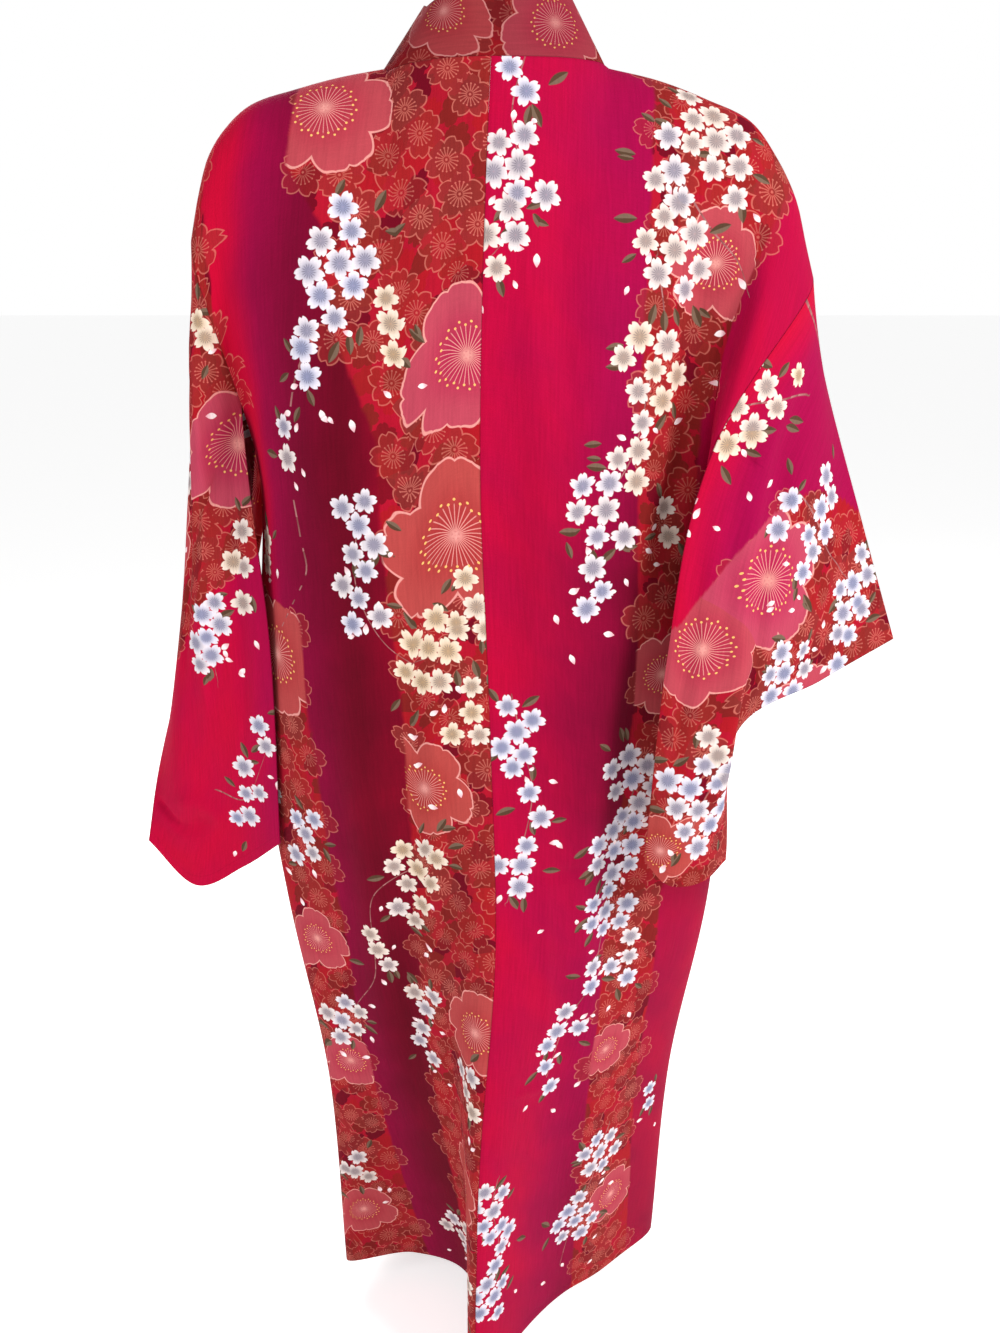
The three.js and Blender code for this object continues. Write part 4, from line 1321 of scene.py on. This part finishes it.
def print_group():
    """The whole print: the dyed ground with its painted shade, the mottled bands, and every layer of motifs
    over them.
    """
    tree, inside, outside = new_group("cherry blossom print", [("Warmth", "NodeSocketFloat")],
                                      [("Colour", "NodeSocketColor"), ("White", "NodeSocketFloat")])
    flat = flat_cloth(tree)
    band, magenta, maroon_and_shade = separate(tree, attribute(tree, "ground"))
    clouds = noise(tree, flat, 9, 3)
    plain = colour_mix(tree, (magenta + (clouds - 0.5) * 0.7).step(0.05, 0.95), CRIMSON, MAGENTA)
    # Maroon darkens the plain cloth: a dyed gradient, and on the body panels also painted shade.
    plain = colour_mix(tree, (maroon_and_shade + (clouds - 0.5) * 0.4).step(0, 1), plain, MAROON)
    cells = add_node(tree, "TexVoronoi", {
        "Vector": flat, "Scale": 1 / SILHOUETTE_SIZE, "Randomness": 0.6,
    }, voronoi_dimensions="2D")
    x, y, _ = separate(tree, vector_math(tree, "SUBTRACT", "Vector", flat, cells.outputs["Position"]))
    pick, dark, spin = separate(tree, cells.outputs["Color"])
    angle = spin * math.tau
    turned_x = (x * angle.node("COSINE") + y * angle.node("SINE")) / SILHOUETTE_RADIUS
    turned_y = (y * angle.node("COSINE") - x * angle.node("SINE")) / SILHOUETTE_RADIUS
    _, _, along, across = five_petals(turned_x, turned_y)
    silhouette = petal_edge(along, across, 0.42, 0.9, 1).step(0.02, -0.02)
    silhouette_colour = colour_mix(tree, dark.step(0.3, 0.7), BAND_RED, BAND_BROWN)
    silhouette_colour = colour_mix(tree, pick.step(0.72, 0.78), silhouette_colour, MAROON)
    warm = colour_mix(tree, Number(tree, inside.outputs[0]) + clouds * 0.6 - 0.3, CRIMSON, BAND_BROWN)
    mottled = colour_mix(tree, silhouette * 0.85, warm, silhouette_colour)
    edge = (band + (noise(tree, flat, 60, 2) - 0.5) * 0.5).step(0.25, 0.75)
    colour = colour_mix(tree, edge, plain, mottled)
    for kind, group in MOTIF_GROUPS.items():
        motif = add_node(tree, "Group", {"Place": nearest_motif(tree, kind)}, node_tree=group)
        mask = Number(tree, motif.outputs["Mask"])
        if kind == "large":
            mask = mask * band.step(0.2, 0.6)
        colour = colour_mix(tree, mask, colour, motif.outputs["Colour"])
    tree.links.new(colour, outside.inputs["Colour"])
    # The last motifs laid are the pale small blossoms
    tree.links.new(mask.socket, outside.inputs["White"])
    return tree


def weave_group():
    """Crepe ripples along the warp, with a fine weave over them, as a height and a shade."""
    tree, _, outside = new_group("crepe weave", [],
                                 [("Height", "NodeSocketFloat"), ("Shade", "NodeSocketFloat")])
    flat = flat_cloth(tree)
    ripples = noise(tree, scaled(tree, flat, (420, 26, 1)), 1, 2)
    slubs = noise(tree, scaled(tree, flat, (70, 900, 1)), 1, 1)
    threads = noise(tree, scaled(tree, flat, (2100, 1500, 1)), 1, 0)
    side, end, _ = separate(tree, attribute(tree, "edges"))
    seam = side.step(0, 4)
    pressed = (end - 13).size().step(0, 1.2)
    height = ripples * 0.55 + slubs * 0.2 + threads * 0.25 + seam * 1.6 + pressed * 0.35
    shade = (ripples - 0.5) * 0.34 + (slubs - 0.5) * 0.16 + (threads - 0.5) * 0.2
    shade = shade + side.step(0, 1.3) * 0.3 + pressed * 0.08 + 0.62
    tree.links.new(height.socket, outside.inputs["Height"])
    tree.links.new(shade.socket, outside.inputs["Shade"])
    return tree


PRINT = print_group()
WEAVE = weave_group()


def printed_cotton(name, warmth, strength, depth):
    """A matt weave with a faint sheen. Warmth browns the bands, depth darkens the print as a whole, on the
    collar as a painted shade.
    """
    material = bpy.data.materials.new(name)
    material.use_nodes = True
    tree = material.node_tree
    shader = tree.nodes["Principled BSDF"]
    shader.inputs["Specular IOR Level"].default_value = 0.06
    shader.inputs["Sheen Weight"].default_value = 0.03
    shader.inputs["Sheen Roughness"].default_value = 0.45
    shader.inputs["Sheen Tint"].default_value = (1, 0.2, 0.4, 1)
    artwork = add_node(tree, "Group", {"Warmth": warmth}, node_tree=PRINT)
    weave = add_node(tree, "Group", {}, node_tree=WEAVE)
    lit = colour_mix(tree, 1, artwork.outputs["Colour"], weave.outputs["Shade"], "MULTIPLY")
    deepened = colour_mix(tree, 1, lit, depth, "MULTIPLY")
    tree.links.new(deepened, shader.inputs["Base Color"])
    rough = Number(tree, artwork.outputs["White"]) * -0.08 + 0.8
    tree.links.new(rough.socket, shader.inputs["Roughness"])
    bump = add_node(tree, "Bump", {
        "Strength": strength, "Distance": BUMP_HEIGHT, "Height": weave.outputs["Height"],
    })
    tree.links.new(bump.outputs[0], shader.inputs["Normal"])
    return material


body_cotton = printed_cotton("printed crepe cotton", 0.4, 0.6, (1, 0.9, 0.92))
# The collar's depth is a painted shade, darkening the whole collar against the light that reaches it from
# above.
collar_cotton = printed_cotton("printed collar cotton", 0.6, 0.5, (0.62, 0.5, 0.54))
for node, made in PIECES.items():
    made["piece"].data.materials.append(collar_cotton if node == "collar" else body_cotton)


# The stage: a plain pale floor, soft lights, and the camera behind the wearer
def add_light(name, place, target, size, watts, colour):
    data = bpy.data.lights.new(name, "AREA")
    data.shape = "DISK"
    data.size = size
    data.energy = watts
    data.color = colour
    light = bpy.data.objects.new(name, data)
    light.location = place
    aim = Vector(target) - Vector(place)
    light.rotation_mode = "QUATERNION"
    light.rotation_quaternion = aim.to_track_quat("-Z", "Y")
    bpy.context.scene.collection.objects.link(light)


# In metres from here on. The backdrop is brighter to the camera than as a light.
FLOOR_Z = -1.47
FLOOR_REACH = 40.0
ROOM_LIGHT = 0.38
BACKDROP_EXTRA = 0.62
floor_mesh = bpy.data.meshes.new("floor")
corners = [(FLOOR_REACH * x, FLOOR_REACH * y, FLOOR_Z) for x, y in ((-1, -1), (1, -1), (1, 1), (-1, 1))]
floor_mesh.from_pydata(corners, [], [(0, 1, 2, 3)])
floor = bpy.data.objects.new("floor", floor_mesh)
bpy.context.scene.collection.objects.link(floor)
pale = bpy.data.materials.new("pale floor")
pale.use_nodes = True
paint = pale.node_tree.nodes["Principled BSDF"]
paint.inputs["Base Color"].default_value = (0.9, 0.9, 0.9, 1)
paint.inputs["Emission Color"].default_value = (1, 1, 1, 1)
paint.inputs["Emission Strength"].default_value = 0.6
floor_mesh.materials.append(pale)

world = bpy.data.worlds.new("studio")
bpy.context.scene.world = world
world.use_nodes = True
backdrop = world.node_tree.nodes["Background"]
backdrop.inputs["Color"].default_value = (1, 1, 1, 1)
light_path = add_node(world.node_tree, "LightPath", {})
seen = Number(world.node_tree, light_path.outputs["Is Camera Ray"])
strength = seen * BACKDROP_EXTRA + ROOM_LIGHT
world.node_tree.links.new(strength.socket, backdrop.inputs["Strength"])
bpy.context.scene.view_settings.view_transform = "Standard"
add_light("key light", (2.0, -1.5, 1.1), (0.1, 0, -0.5), 0.9, 74, (1, 0.98, 0.96))
add_light("fill light", (-2.0, -1.4, 0.5), (-0.1, 0, -0.7), 1.6, 24, (0.96, 0.98, 1))
add_light("front light", (-0.9, 2.3, 0.8), (0, 0, -0.6), 1.6, 44, (1, 0.99, 0.98))

camera_data = bpy.data.cameras.new("camera")
camera = bpy.data.objects.new("camera", camera_data)
camera.location = (0.005, -1.11, -0.176)
camera.rotation_euler = (math.radians(70.5), 0, 0)
camera_data.sensor_fit = "AUTO"
camera_data.angle = math.radians(62.4)
bpy.context.scene.collection.objects.link(camera)
bpy.context.scene.camera = camera
